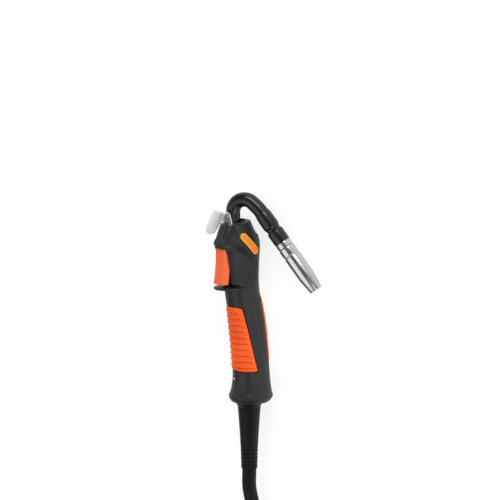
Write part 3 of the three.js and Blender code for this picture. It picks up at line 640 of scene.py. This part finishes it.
GRIP_LOW, GRIP_HIGH = 36.0, 105.0
GRIP_EDGE_LOW, GRIP_EDGE_HIGH = 1.2, 19.0
GRIP_CORNER = 3.0
BACK_GRIP_LOW, BACK_GRIP_HIGH = 37.0, 124.0
GRIP_LEAN = (GRIP_EDGE_HIGH - GRIP_EDGE_LOW) / (GRIP_HIGH - GRIP_LOW)
RIB_FIRST, RIB_PITCH, RIB_COUNT = 41.2, 6.5, 10
RIB_INSET = 3.0
PAD_SOFTNESS, PAD_EDGE = 0.9, 1.4
FRONT_SPAN, BACK_SPAN, HEAD_SPAN = (33.0, 108.0), (33.0, 128.0), (155.0, 192.0)
BADGE_X, BADGE_Z = 13.5, 172.8
BADGE_LENGTH, BADGE_WIDTH = 29.0, 8.0
BADGE_TURN = radians(46.6)
SHELL_SCREWS = {
    "shell_screw_rear": (-11.5, 33.0),
    "shell_screw_middle": (-1.0, 112.0),
    "shell_screw_head": (3.0, 179.0),
}
TRIGGER_PIN = (29.5, 163.0)
NECK_MOUTH = (18.2, (10.6, 9.2))
BALL_SEAT_RADIUS, BALL_SEAT_HEIGHT = 16.9, 9.0
MOUTH_HALF_ANGLE = radians(68.5)
MOUTH_LOW = -5.0
SEAM = 0.15
STUD_FRAME = TORCH @ Matrix.Translation((12.0, -5.0, 27.0)) @ Matrix.Rotation(pi / 2, 4, "Y")
LEFT_SIDE, RIGHT_SIDE = (0.0, 40.0), (-40.0, 0.0)
TRIGGER_SLOT = ((22, -9.35, 128.3), (60, 9.35, 168.9))
HOOK_SLOT = ((28.6, -8.8, 182), (30.3, 8.8, 200))
SCREW_BOSS, SCREW_HOLE, SCREW_SEAT = 3.6, 1.8, 3.4
BADGE_PROUD, BADGE_RIM_PROUD = 0.45, 0.68


def quadratic(start, control, stop, steps):
    """Points of a quadratic curve, without its start."""
    points = []
    for i in range(1, steps + 1):
        t = i / steps
        near, middle, far = (1 - t) ** 2, 2 * t * (1 - t), t**2
        trios = zip(start, control, stop)
        points.append(tuple(a * near + b * middle + c * far for a, b, c in trios))
    return points


def front_grip_outline(margin):
    """Side view of the front grip, grown by a margin."""
    low, high = GRIP_LOW - margin, GRIP_HIGH + margin
    edge_low, edge_high = GRIP_EDGE_LOW - margin, GRIP_EDGE_HIGH - margin
    lean = GRIP_LEAN * GRIP_CORNER
    points = [(60.0, low), (edge_low + GRIP_CORNER, low)]
    points += quadratic(points[-1], (edge_low, low), (edge_low + lean, low + GRIP_CORNER), 6)
    points.append((edge_high - lean, high - GRIP_CORNER))
    points += quadratic(points[-1], (edge_high, high), (edge_high + GRIP_CORNER, high), 6)
    points.append((60.0, high))
    return points


def back_grip_edge(height):
    along = (height - BACK_GRIP_LOW) / (BACK_GRIP_HIGH - BACK_GRIP_LOW)
    _, centre, depth, _, _ = section_at(height)
    return centre - depth * (0.66 + 0.3 * abs(2 * along - 1) ** 3)


def back_grip_outline(margin):
    """Side view of the long back grip, grown by a margin."""
    low, high = BACK_GRIP_LOW - margin, BACK_GRIP_HIGH + margin
    heights = [low + (high - low) * i / 24 for i in range(25)]
    return [(-60.0, high), (-60.0, low)] + [(back_grip_edge(h) + margin, h) for h in heights]


def badge_outline(margin):
    """Side view of the badge, a slanted strip with round ends, grown by a margin."""
    half = BADGE_WIDTH / 2 + margin
    reach = BADGE_LENGTH / 2 - BADGE_WIDTH / 2
    c, s = cos(BADGE_TURN), sin(BADGE_TURN)
    points = []
    for end, first in ((reach, -90), (-reach, 90)):
        for step in range(13):
            angle = radians(first + 15 * step)
            x, z = end + half * cos(angle), half * sin(angle)
            points.append((BADGE_X + x * c - z * s, BADGE_Z + x * s + z * c))
    return points


def side_prism(name, outline, low, high):
    """A side-view outline carried across the torch between two places."""
    return loft(name, [[(x, y, z) for x, z in outline] for y in (low, high)], TORCH)


def window_over(outline, low=-40.0, high=40.0):
    return side_prism("window", outline, low, high)


def pad(name, window, span, levels, sides, outer, inner):
    """The slice of the handle's skin between two offsets, seen through a side-view window."""
    piece = handle_loft(name, span[0], span[1], levels, sides, outer)
    carve(piece, window, "INTERSECT")
    return carve(piece, handle_loft("core", span[0] - 1, span[1] + 1, levels, sides, inner))


def pad_edge(margin):
    """How proud a grip stands, with its edges rounded down."""
    return GRIP_PROUD - PAD_SOFTNESS * (1 - smooth(margin / PAD_EDGE))


def front_grip_offset(x, height):
    """A pad with soft edges and raised ribs that stop short of its slanted edge."""
    edge = GRIP_EDGE_LOW + GRIP_LEAN * (height - GRIP_LOW)
    from_edge = (x - edge) * cos(atan(GRIP_LEAN))
    margin = min(from_edge, height - GRIP_LOW, GRIP_HIGH - height)
    reach = pad_edge(margin)
    nearest = round((height - RIB_FIRST) / RIB_PITCH)
    if 0 <= nearest < RIB_COUNT:
        away = height - RIB_FIRST - nearest * RIB_PITCH
        rib = 0.95 * exp(-((away / 0.6) ** 2))
        groove = 0.45 * exp(-(((away + 1.25) / 0.5) ** 2))
        reach += (rib - groove) * smooth((from_edge - RIB_INSET + 0.6) / 0.8)
    return reach


def back_grip_offset(x, height):
    inside = back_grip_edge(height) - x
    return pad_edge(min(inside, height - BACK_GRIP_LOW, BACK_GRIP_HIGH - height))


def ball_points(centre, radius, flat, rings=6, sides=12):
    """Points and faces of a small ball, flattened across the torch."""
    levels = []
    for i in range(rings + 1):
        angle = pi * (0.02 + 0.96 * i / rings)
        reach, rise = radius * sin(angle), radius * cos(angle)
        x, y, z = centre
        steps = circle(sides)
        levels.append([(x + reach * c, y + reach * flat * s, z + rise) for _, c, s in steps])
    return bridge(levels)


def make_front_grip():
    window = window_over(front_grip_outline(-0.2))
    grip = pad("grip_front", window, FRONT_SPAN, 260, 128, front_grip_offset, -GRIP_DEPTH)
    stands_for(grip, "front_grip")
    points, faces = [], []
    for i in range(RIB_COUNT):
        height = RIB_FIRST + i * RIB_PITCH
        x = GRIP_EDGE_LOW + GRIP_LEAN * (height - GRIP_LOW) + RIB_INSET + 0.2
        for side in (-1, 1):
            centre = (x, side * (surface_side(x, height) + 0.65), height)
            more, shapes = ball_points(centre, 0.85, 0.75)
            faces += [tuple(k + len(points) for k in face) for face in shapes]
            points += more
    dots = mesh_piece("grip_dots", points, faces, TORCH)
    # The dots are real bumps; their lighter orange finish is a painted highlight.
    dress(dots, "front_grip", finish="orange_dots_painted_highlight")


def make_back_grip():
    window = window_over(back_grip_outline(-0.2))
    grip = pad("grip_back", window, BACK_SPAN, 90, 96, back_grip_offset, -GRIP_DEPTH)
    stands_for(grip, "back_grip")


def make_badges():
    for node, side in (("left_badge", LEFT_SIDE), ("right_badge", RIGHT_SIDE)):
        window = window_over(badge_outline(-1.1), *side)
        plate = pad(node + "_plate", window, HEAD_SPAN, 40, 96, BADGE_PROUD, -GRIP_DEPTH)
        stands_for(plate, node)
        window = window_over(badge_outline(-0.1), *side)
        rim = pad(node + "_rim", window, HEAD_SPAN, 40, 96, BADGE_RIM_PROUD, -GRIP_DEPTH)
        carve(rim, window_over(badge_outline(-1.2), *side))
        dress(rim, node, finish="badge_rim")


def rod_across(name, radius, low, high, x, z, sides=32):
    """A rod along the torch's left-right line."""
    outline = [(x + radius * c, z + radius * s) for _, c, s in circle(sides)]
    return side_prism(name, outline, low, high)


def ellipse_stack(name, centre_x, semi, levels, sides=72):
    """Ellipses of one centre at several heights; levels are (height, growth)."""
    rings = []
    for height, growth in levels:
        deep, wide = semi[0] + growth, semi[1] + growth
        rings.append([(centre_x + deep * c, wide * s, height) for _, c, s in circle(sides)])
    return loft(name, rings, TORCH)


def finger_guard():
    """A thin flange under the trigger; its root swells into the handle."""
    levels = [(124.25, -1.6), (124.35, -0.9), (124.7, -0.3), (125.3, 0.0)]
    levels += [(126.2, 0.0), (126.6, -0.3), (126.8, -0.9), (126.9, -1.6)]
    return ellipse_stack("guard", 20.0, (22.6, 17.4), levels)


def top_lip():
    """A rounded lip round the opening that the neck comes out of."""
    levels = [(192.0, 2.3), (196.2, 2.3), (197.0, 1.9), (197.4, 1.2), (197.5, 0.4), (197.5, -3.0)]
    return ellipse_stack("lip", *NECK_MOUTH, levels)


def sheared(piece):
    """Leans a piece to follow the sloping top of the handle."""
    back = TORCH.inverted()
    for vertex in piece.data.vertices:
        place = back @ vertex.co
        place.z -= TOP_SLOPE * place.x
        vertex.co = TORCH @ place
    return piece


def rim_trim(x, height):
    """Keeps the shells, and most of all their round rim, clear of the bench they lie on."""
    return -SHELL_TRIM - RIM_TRIM * (1 - smooth((height - 14.0) / 10.0))


def shell_walls():
    head_cuts = (150.0, 186.0, 110)
    walls = handle_loft("walls", HANDLE_LOW, HANDLE_HIGH, 200, 176, rim_trim, head_cuts)
    top = block("top", (-FAR, -FAR, TOP_HEIGHT), (FAR, FAR, TOP_HEIGHT + 60), TORCH)
    carve(walls, sheared(top))
    lip = sheared(top_lip())
    carve(lip, handle_loft("limit", HANDLE_LOW, HANDLE_HIGH, 60, 64, 1.0), "INTERSECT")
    carve(walls, lip, "UNION")
    carve(walls, finger_guard(), "UNION")
    carve(walls, handle_loft("hollow", HOLLOW_LOW, HOLLOW_HIGH, 60, 64, -WALL))
    for x, z in SHELL_SCREWS.values():
        carve(walls, rod_across("boss", SCREW_BOSS, -15.2, 15.2, x, z), "UNION")
    return walls


def shell_grooves(walls):
    """Sunk seats for the grips and badges, with a thin shadow gap round each."""
    depth = -GRIP_DEPTH - GAP
    windows = [
        (window_over(front_grip_outline(GROOVE)), FRONT_SPAN),
        (window_over(back_grip_outline(GROOVE)), BACK_SPAN),
        (window_over(badge_outline(GROOVE), *LEFT_SIDE), HEAD_SPAN),
        (window_over(badge_outline(GROOVE), *RIGHT_SIDE), HEAD_SPAN),
    ]
    for window, span in windows:
        carve(walls, pad("groove", window, span, 40, 96, 6.0, depth))


def shell_openings(walls):
    carve(walls, block("slot", *TRIGGER_SLOT, TORCH))
    spread = tan(MOUTH_HALF_ANGLE) * (BALL_SEAT_HEIGHT - MOUTH_LOW)
    cone = [(0, MOUTH_LOW), (spread, MOUTH_LOW), (0, BALL_SEAT_HEIGHT)]
    carve(walls, turned("mouth", cone, TORCH, 64, CRISP))
    ball = []
    for i in range(25):
        angle = pi * i / 24
        reach = BALL_SEAT_RADIUS * sin(angle) if 0 < i < 24 else 0
        ball.append((reach, BALL_SEAT_HEIGHT - BALL_SEAT_RADIUS * cos(angle)))
    carve(walls, turned("ball", ball, TORCH, 64, CRISP))
    levels = [(180.0, 0.0), (193.4, 0.0), (194.6, 0.5), (200.0, 0.6)]
    carve(walls, ellipse_stack("bore", *NECK_MOUTH, levels))
    carve(walls, block("hook_slot", *HOOK_SLOT, TORCH))
    for x, z in SHELL_SCREWS.values():
        carve(walls, rod_across("hole", SCREW_HOLE, -30.0, 9.0, x, z))
        carve(walls, rod_across("seat", SCREW_SEAT, -40.0, -12.0, x, z))
    stud = [(0, 0), (1.5, 0), (1.5, 12), (0, 12)]
    carve(walls, turned("stud_hole", stud, STUD_FRAME, 32, CRISP))


def make_shells():
    walls = shell_walls()
    shell_grooves(walls)
    shell_openings(walls)
    right = new_object("shell_right", walls.data.copy())
    walls.name = "shell_left"
    carve(walls, block("half", (-FAR, -FAR, -FAR), (FAR, SEAM, 2 * FAR), TORCH))
    carve(right, block("half", (-FAR, -SEAM, -FAR), (FAR, FAR, 2 * FAR), TORCH))
    stands_for(walls, "left_shell")
    stands_for(right, "right_shell")


make_front_grip()
make_back_grip()
make_badges()
make_shells()

# ---- hook

HOOK_HALF = 10.0
HOOK_THICK = 1.0
HOOK_FOOT_HALF = 8.5
HOOK_FOOT = [(29.45, 185.5), (29.45, 189.5), (29.45, 192.8)]
HOOK_RISE = [(29.45, 193.3), (29.75, 195.2), (30.6, 198.5)]
HOOK_SLANT = radians(31)
HOOK_BEND = Vector((36.0, 0, 202.0))
HOOK_BEND_RADIUS = 4.3
HOOK_TONGUE = 23.5


def ribbon(name, line, across_axis, half_width_at, half_thick, matrix, closed=False):
    """A strip along a line; its section is a rounded rectangle across a constant direction."""
    corner = min(0.35, half_thick * 0.6)
    rings = []
    count = len(line)
    for i, point in enumerate(line):
        ahead = line[(i + 1) % count] if closed else line[min(i + 1, count - 1)]
        behind = line[(i - 1) % count] if closed else line[max(i - 1, 0)]
        along = (ahead - behind).normalized()
        normal = along.cross(across_axis).normalized()
        half = half_width_at(i)
        ring = []
        for sy, sn in ((1, 1), (-1, 1), (-1, -1), (1, -1)):
            steps = (0, 45, 90) if sy * sn > 0 else (90, 45, 0)
            for step in steps:
                turn = radians(step)
                out = half - corner + corner * cos(turn)
                up = half_thick - corner + corner * sin(turn)
                ring.append(tuple(point + across_axis * sy * max(out, 0.05) + normal * sn * up))
        rings.append(ring)
    return loft(name, rings, matrix, 50, closed)


def make_hook():
    """A foot in the handle's slot, a round bend and a slanted tongue with a round end."""
    line = [Vector((x, 0, z)) for x, z in HOOK_FOOT + HOOK_RISE]
    for i in range(21):
        angle = pi - (pi - HOOK_SLANT) * i / 20
        c, s = cos(angle), sin(angle)
        line.append(HOOK_BEND + Vector((HOOK_BEND_RADIUS * c, 0, HOOK_BEND_RADIUS * s)))
    start = line[-1]
    along = Vector((sin(HOOK_SLANT), 0, -cos(HOOK_SLANT)))
    straight = HOOK_TONGUE - HOOK_HALF
    widths = [HOOK_FOOT_HALF] * len(HOOK_FOOT) + [HOOK_HALF] * (len(line) - len(HOOK_FOOT))
    line.append(start + along * straight)
    widths.append(HOOK_HALF)
    for i in range(1, 13):
        angle = pi / 2 * i / 12
        line.append(start + along * (straight + HOOK_HALF * sin(angle) * 0.995))
        widths.append(max(HOOK_HALF * cos(angle), 0.9))
    hook = ribbon("hook_strip", line, Vector((0, 1, 0)), lambda i: widths[i], HOOK_THICK / 2, TORCH)
    stands_for(hook, "hook")


make_hook()

# ---- trigger


TRIGGER_HALF, TRIGGER_CORNER = 8.25, 1.3
TRIGGER_MIDDLE = (33.0, 149.0)


def make_trigger():
    """A curved lever with rounded sides, hollow behind for its spring, switch and pin."""
    outline = [(33.0, 129.9), (38.6, 129.72)]
    outline += quadratic((38.6, 129.72), (40.8, 130.0), (40.5, 131.8), 6)
    outline += quadratic((40.5, 131.8), (37.4, 150.0), (37.7, 166.0), 24)
    outline += quadratic((37.7, 166.0), (37.6, 167.6), (36.2, 167.6), 4)
    outline += [(26.2, 167.6), (26.2, 158.5), (32.0, 157.0), (31.8, 144.0)]
    stations = []
    for i in range(7):
        angle = pi / 2 * i / 6
        y = TRIGGER_HALF - TRIGGER_CORNER + TRIGGER_CORNER * cos(angle)
        stations.append((y, TRIGGER_CORNER * (1 - sin(angle))))
    places = [(-y, inset) for y, inset in stations] + stations[::-1]
    rings = []
    for y, inset in places:
        ring = []
        for x, z in outline:
            dx = -inset if x > TRIGGER_MIDDLE[0] else 0.0
            dz = inset if z < TRIGGER_MIDDLE[1] else -inset
            near_end = smooth((abs(z - TRIGGER_MIDDLE[1]) - 15.5) / 3.0)
            ring.append((x + dx, y, z + dz * near_end))
        rings.append(ring)
    piece = loft("trigger_lever", rings, TORCH)
    carve(piece, block("pocket", (20, -6, 131.8), (35, 6, 157.6), TORCH))
    carve(piece, block("pocket", (20, -4.2, 157), (33.6, 4.2, 170), TORCH))
    carve(piece, rod_across("bore", 1.8, -15, 15, *TRIGGER_PIN))
    stands_for(piece, "trigger")


make_trigger()

# ---- neck and nozzle

NECK_TURNED = radians(127)
NECK_FOOT = 174.0
NECK_BEND_START = 205.8
NECK_BEND_RADIUS = 12.4
NECK_BEND_ANGLE = radians(132.5)
NECK_STRAIGHT = 11.2
NOZZLE_ANGLE = radians(143.3)
KINK_TO_COLLAR_END = 40.2
NECK_RADIUS = 7.6
SLEEVE_FROM = -37.6
COLLAR_FROM = -15.2
SEAT_END = 6.2
NOZZLE_FRONT = 60.5
NECK_OUT = Vector((cos(NECK_TURNED), sin(NECK_TURNED), 0))


def in_neck_plane(out, height):
    return Vector((NECK_X, 0, height)) + NECK_OUT * out


KINK = in_neck_plane(
    NECK_BEND_RADIUS * (1 - cos(NECK_BEND_ANGLE)) + NECK_STRAIGHT * sin(NECK_BEND_ANGLE),
    NECK_BEND_START + NECK_BEND_RADIUS * sin(NECK_BEND_ANGLE)
    + NECK_STRAIGHT * cos(NECK_BEND_ANGLE),
)
NOZZLE_LINE = NECK_OUT * sin(NOZZLE_ANGLE) + Vector((0, 0, cos(NOZZLE_ANGLE)))
COLLAR_END = KINK + NOZZLE_LINE * KINK_TO_COLLAR_END
NOZZLE = aimed_matrix(TORCH @ COLLAR_END, (TORCH.to_3x3() @ NOZZLE_LINE).normalized())


def neck_line():
    """The neck's middle line, from inside the handle to just inside the sleeve."""
    points = [in_neck_plane(0, NECK_FOOT), in_neck_plane(0, 190.0), in_neck_plane(0, 200.0)]
    for i in range(15):
        angle = NECK_BEND_ANGLE * i / 14
        out = NECK_BEND_RADIUS * (1 - cos(angle))
        points.append(in_neck_plane(out, NECK_BEND_START + NECK_BEND_RADIUS * sin(angle)))
    back = NECK_OUT * sin(NECK_BEND_ANGLE) + Vector((0, 0, cos(NECK_BEND_ANGLE)))
    points.append(KINK - back * 2.0)
    points.append(KINK + NOZZLE_LINE * 5.0)
    return smooth_route(points, 0.8)


NECK_PIECES = {
    "neck_sleeve": ("sleeve", 72, 1.0, [
        (5.3, SLEEVE_FROM), (7.7, SLEEVE_FROM), (8.3, SLEEVE_FROM + 2.2), (8.55, SLEEVE_FROM + 6),
        (8.7, COLLAR_FROM - 6.5), (8.55, COLLAR_FROM - 4.5), (7.6, COLLAR_FROM - 2.2),
        (7.2, COLLAR_FROM + 0.8), (5.3, COLLAR_FROM + 0.8),
    ]),
    "neck_insulator": ("collar", 72, 0.7, [
        (5.3, COLLAR_FROM), (7.7, COLLAR_FROM), (8.75, COLLAR_FROM + 1.6), (8.75, 0), (5.3, 0),
    ]),
    "nozzle_seat": ("seat_ring", 72, 0.25, [
        (5.3, -0.5), (8.0, -0.5), (8.0, 0.5), (8.45, 0.5), (8.6, 0.8), (8.6, SEAT_END - 0.3),
        (8.35, SEAT_END), (5.3, SEAT_END),
    ]),
    "tip_holder": ("diffuser", 48, 0.25, [
        (1.5, 4.6), (4.6, 4.6), (4.6, 20), (4.1, 20.4), (4.1, 21.2), (4.6, 21.6), (4.6, 30),
        (3.9, 32), (1.5, 32),
    ]),
    "contact_tip": ("tip", 48, 0.4, [(0.6, 32.4), (4, 32.4), (4, 49), (2.6, 57.5), (0.6, 57.5)]),
    "gas_nozzle": ("nozzle_shell", 96, 0.35, [
        (7.3, SEAT_END + GAP), (8.5, SEAT_END + GAP), (8.9, 7.3), (8.9, 15.7), (8.3, 16.1),
        (8.3, 17.1), (9, 17.5), (9, 43.9), (7, NOZZLE_FRONT), (5.8, NOZZLE_FRONT), (7.3, 44.5),
    ]),
}


def make_neck():
    line = neck_line()
    riser = (NECK_BEND_START + 4.0 - NECK_FOOT) / 85.0

    def radius_at(along, angle):
        fade = smooth((riser - along) / 0.1)
        fluted = 0.5 - 0.5 * cos(9 * angle)
        return NECK_RADIUS - 0.75 * fade * fluted**1.5

    cover = swept("neck_skin", line, radius_at, TORCH, 72)
    stands_for(cover, "neck_cover")
    for node, (name, sides, fillet, profile) in NECK_PIECES.items():
        stands_for(turned(name, profile, NOZZLE, sides, fillet), node)


make_neck()

# ---- cable, its coil and the connector

BENCH = Matrix.Scale(MM, 4)
CABLE_RADIUS = 7.5
BALL_RADIUS = 16.5
SUPPORT_LENGTH = 84.0
SUPPORT_DROOP = radians(4)
SUPPORT_SWING = radians(-6)
COIL_RADIUS = 82.0
TURN_PITCH = 15.2
OUTER_TURN = COIL_RADIUS + TURN_PITCH
INNER_TURN = COIL_RADIUS - TURN_PITCH
COIL_FLOOR = 1.6
LOW_LAYER = COIL_FLOOR + CABLE_RADIUS
HIGH_LAYER = LOW_LAYER + TURN_PITCH
COIL_CENTRE_BACK = 232.0
TIE_ANGLE = radians(40)
TURN_STEPS = 60
SHIFT_ARC = 0.28
LOW_SHIFT_AT, CLIMB_AT, HIGH_SHIFT_AT = 0.68, 0.38, 0.08
TIE_INSIDE, TIE_OFF, TIE_CORNER = 1.55, 0.55, 7.6
SUPPORT_RIB = [(0, 0), (-0.9, 0.5), (-0.9, 1.5), (-0.05, 2.0)]
BOOT_RIB = [(0, 0), (-1.0, 0.5), (-0.8, 1.9), (0.1, 2.4)]
PLUG_OFFSET = Vector((-34.0, -128.0, 20.3))
PLUG_PINS = {"control_pin_1": 7.6, "control_pin_2": -7.6}
NIPPLE_DROP = 8.2
TAIL_POINTS = [
    (-97.2, -34, 24.3), (-97.2, -68, 24), (-92.6, -91, 23.3), (-79.6, -110.4, 22.2),
    (-60.2, -123.4, 20.9), (-41, -128, 20.3),
]

BALL = Vector(JOINTS["cable_swing"]["pos_m"]) / MM
LEVEL = cos(SUPPORT_DROOP)
SUPPORT_OUT = Vector(
    (sin(SUPPORT_SWING) * LEVEL, -cos(SUPPORT_SWING) * LEVEL, -sin(SUPPORT_DROOP))
)
CABLE_EXIT = BALL + SUPPORT_OUT * (SUPPORT_LENGTH + GAP)
COIL_CENTRE = Vector((CABLE_EXIT.x + OUTER_TURN, BALL.y - COIL_CENTRE_BACK, 0))
PLUG_POINT = COIL_CENTRE + PLUG_OFFSET


def on_coil(degrees, radius, height):
    angle = radians(degrees)
    return COIL_CENTRE + Vector((radius * cos(angle), radius * sin(angle), height))


def coil_points():
    """Three turns wind in on the bench, then two wind out on top of them.

    Every shift between turns has its own stretch of the circle, so no turn meets another.
    """
    points = []
    for step in range(1, 5 * TURN_STEPS):
        turn, part = divmod(step / TURN_STEPS, 1)
        radius, height = INNER_TURN, HIGH_LAYER
        if turn < 2:
            radius = OUTER_TURN - TURN_PITCH * (turn + smooth((part - LOW_SHIFT_AT) / SHIFT_ARC))
            height = LOW_LAYER
        elif turn < 3:
            height = LOW_LAYER + TURN_PITCH * smooth((part - CLIMB_AT) / SHIFT_ARC)
        else:
            shift = smooth((part - HIGH_SHIFT_AT) / SHIFT_ARC)
            radius = INNER_TURN + TURN_PITCH * (turn - 3 + shift)
        points.append(on_coil(180 + 360 / TURN_STEPS * step, radius, height))
    return points


def cable_line():
    entry = COIL_CENTRE + Vector((-OUTER_TURN, 0, LOW_LAYER))
    lead = [
        CABLE_EXIT,
        CABLE_EXIT + SUPPORT_OUT * 22,
        CABLE_EXIT + Vector((0, -50, -5.2)),
        Vector(((CABLE_EXIT.x + entry.x) / 2, CABLE_EXIT.y - 85, LOW_LAYER + 0.6)),
        entry + Vector((0, 40, 0)),
        entry + Vector((0, 20, 0)),
        entry,
    ]
    tail = [on_coil(180, OUTER_TURN, HIGH_LAYER)]
    tail += [COIL_CENTRE + Vector(place) for place in TAIL_POINTS]
    tail.append(PLUG_POINT + Vector((-GAP, 0, 0)))
    return smooth_route(lead + coil_points() + tail, 4.0)


def ribbed(rib, places):
    """Profile points of one rib shape at several (radius, height) places."""
    return [(reach + dr, start + dz) for reach, start in places for dr, dz in rib]


def make_support():
    """The ball in the handle and the tapering sleeve on the cable, ribbed at its thin end."""
    here = aimed_matrix(BALL * MM, SUPPORT_OUT)
    join = 0.85
    profile = [(0, -BALL_RADIUS)]
    for i in range(1, 29):
        angle = pi - (pi - join) * i / 28
        profile.append((BALL_RADIUS * sin(angle), BALL_RADIUS * cos(angle)))
    profile += [(12.25, 11.6), (11.4, 22), (9.9, 45), (9.3, 58)]
    profile += ribbed(SUPPORT_RIB, [(9.25 - 0.13 * i, 60 + i * 4.4) for i in range(5)])
    profile += [(8.6, 82.5), (8.2, SUPPORT_LENGTH), (0, SUPPORT_LENGTH)]
    return stands_for(turned("support", profile, here, 72, 0.5), "cable_support")


def make_tie():
    """A strap of hook-and-loop tape round all the turns."""
    near = INNER_TURN - CABLE_RADIUS - TIE_INSIDE + TIE_CORNER
    far = OUTER_TURN + CABLE_RADIUS + 0.1 + GAP + TIE_OFF - TIE_CORNER
    low = COIL_FLOOR - GAP - TIE_OFF + TIE_CORNER
    high = HIGH_LAYER + CABLE_RADIUS + GAP + TIE_OFF - TIE_CORNER
    line = []
    for cx, cz, first in ((far, low, -90), (far, high, 0), (near, high, 90), (near, low, 180)):
        for i in range(9):
            angle = radians(first + 90 * i / 8)
            c, s = cos(angle), sin(angle)
            line.append(Vector((cx + TIE_CORNER * c, 0, cz + TIE_CORNER * s)))
    place = BENCH @ Matrix.Translation(COIL_CENTRE) @ Matrix.Rotation(TIE_ANGLE, 4, "Z")
    strap = ribbon("tie_strap", line, Vector((0, 1, 0)), lambda i: 8.0, 0.5, place, closed=True)
    return stands_for(strap, "coil_tie")


def make_plug():
    """The central connector on the cable's end, from its rear support to its pins."""
    here = aimed_matrix(PLUG_POINT * MM, Vector((1, 0, 0)))
    starts = [3 + i * 5.2 for i in range(7)]
    boot = [(0, 0), (8.3, 0), (8.7, 0.8)]
    boot += ribbed(BOOT_RIB, [(8.7 + 3.1 * start / 44, start) for start in starts])
    boot += [(11.8, 43), (11.8, 46), (0, 46)]
    housing = [
        (0, 46.3), (13, 46.3), (15.3, 52), (15.5, 66), (15.8, 84), (17.5, 88), (17.5, 94),
        (10.6, 94), (10.6, 60), (0, 60),
    ]

    def grooved(angle, radius, height):
        inside = smooth((height - 53) / 3) * smooth((83 - height) / 3)
        return -0.9 * inside * (0.5 - 0.5 * cos(10 * angle)) ** 3 if radius > 13 else 0.0

    def fluted(angle, radius, height):
        return -1.3 * (0.5 - 0.5 * cos(18 * angle)) ** 2 if radius > 17 else 0.0

    nut = [
        (10.6, 94.3), (18.2, 94.3), (19.8, 96.4), (20, 98), (20, 122), (19.8, 123.6), (18.4, 126),
        (15.2, 126), (15.2, 98.2), (10.6, 98.2),
    ]
    core = [
        (0, 60.4), (10.2, 60.4), (10.2, 98.5), (14.5, 98.5), (14.5, 102), (12, 102), (12, 124),
        (0, 124),
    ]
    hole = [(0, 111), (1.9, 111), (1.9, 130), (0, 130)]
    inlet = [(1.4, 124.3), (4.6, 124.3), (4.6, 140.4), (4.0, 141), (1.4, 141)]
    seal = [(4.9, 133), (6, 133), (6, 135.2), (4.9, 135.2)]
    nipple = [(0, 124.3), (1.8, 124.3), (1.8, 129.4), (1.3, 130), (0, 130)]
    pin = [(0, 114.5), (1.5, 114.5), (1.5, 130.0), (1.2, 130.8), (0, 131)]
    lowered = here @ Matrix.Translation((0, -NIPPLE_DROP, 0))
    body = turned("plug_core", core, here, 64, 0.4)
    for x in PLUG_PINS.values():
        carve(body, turned("hole", hole, here @ Matrix.Translation((x, 0, 0)), 24, CRISP))
    parts = [
        stands_for(turned("boot", boot, here, 64, 0.5), "rear_support"),
        stands_for(ringed("housing", housing, here, grooved), "plug_housing"),
        stands_for(body, "plug_body"),
        stands_for(turned("nut", nut, here, 144, 0.8, fluted), "plug_nut"),
        stands_for(turned("inlet", inlet, here, 40, 0.3), "wire_inlet"),
        stands_for(turned("seal", seal, here, 40, 0.5), "inlet_seal"),
        stands_for(turned("nipple", nipple, lowered, 32, 0.2), "gas_nipple"),
    ]
    for node, x in PLUG_PINS.items():
        shifted = here @ Matrix.Translation((x, 0, 0))
        parts.append(stands_for(turned("contact_" + node[-1], pin, shifted, 32, 0.2), node))
    return parts


def ringed(name, profile, matrix, wave):
    """A turned piece with its long sides cut into short steps, so a wave can fade along them."""
    fine = [profile[0]]
    for start, stop in zip(profile, profile[1:]):
        steps = max(1, round((Vector(stop) - Vector(start)).length / 2.0))
        for i in range(1, steps + 1):
            fine.append(tuple(a + (b - a) * i / steps for a, b in zip(start, stop)))
    return turned(name, fine, matrix, 120, 0.3, wave)


def make_cable(support):
    line = cable_line()
    cable = swept("cable", line, lambda along, angle: CABLE_RADIUS, BENCH, 24)
    stands_for(cable, "cable_coil", "cable_lead", "cable_tail")
    on_it = [support, make_tie()] + make_plug()


make_cable(make_support())

# ---- small parts


def make_screws():
    profile = [
        (0, -14.6), (2.4, -14.6), (3.0, -14.0), (3.0, -12.3), (1.5, -12.3), (1.5, 8.4), (0, 8.4),
    ]
    for node, (x, z) in SHELL_SCREWS.items():
        here = TORCH @ Matrix.Translation((x, 0, z)) @ Matrix.Rotation(-pi / 2, 4, "X")
        screw = turned(node + "_head", profile, here, 40, 0.2)
        for turn in (0, pi / 2):
            crossed = here @ Matrix.Rotation(turn, 4, "Z")
            carve(screw, block("cross", (-1.7, -0.35, -15.5), (1.7, 0.35, -13.6), crossed))
        stands_for(screw, node)


def make_stud():
    profile = [(0, 1.0), (1.3, 1.0), (1.3, 3.9), (1.05, 4.3), (0.6, 4.5), (0, 4.5)]
    stands_for(turned("stud", profile, STUD_FRAME, 32, 0.15), "front_stud")


SPRING_RADIUS, SPRING_WIRE = 5.6, 0.6
SPRING_FROM, SPRING_LENGTH = 8.5, 9
SPRING_STEPS = 160


def make_nozzle_spring():
    line = []
    for i in range(SPRING_STEPS + 1):
        angle = 2 * pi * i / 48
        x, y = SPRING_RADIUS * cos(angle), SPRING_RADIUS * sin(angle)
        line.append(Vector((x, y, SPRING_FROM + SPRING_LENGTH * i / SPRING_STEPS)))
    spring = swept("seat_spring", line, lambda along, angle: SPRING_WIRE, NOZZLE, 12)
    stands_for(spring, "nozzle_spring")


make_screws()
make_stud()
make_nozzle_spring()

for node, piece in frame["nodes"].items():
    if not piece.hide_render:
        paint(piece, SLOT_OF[node])
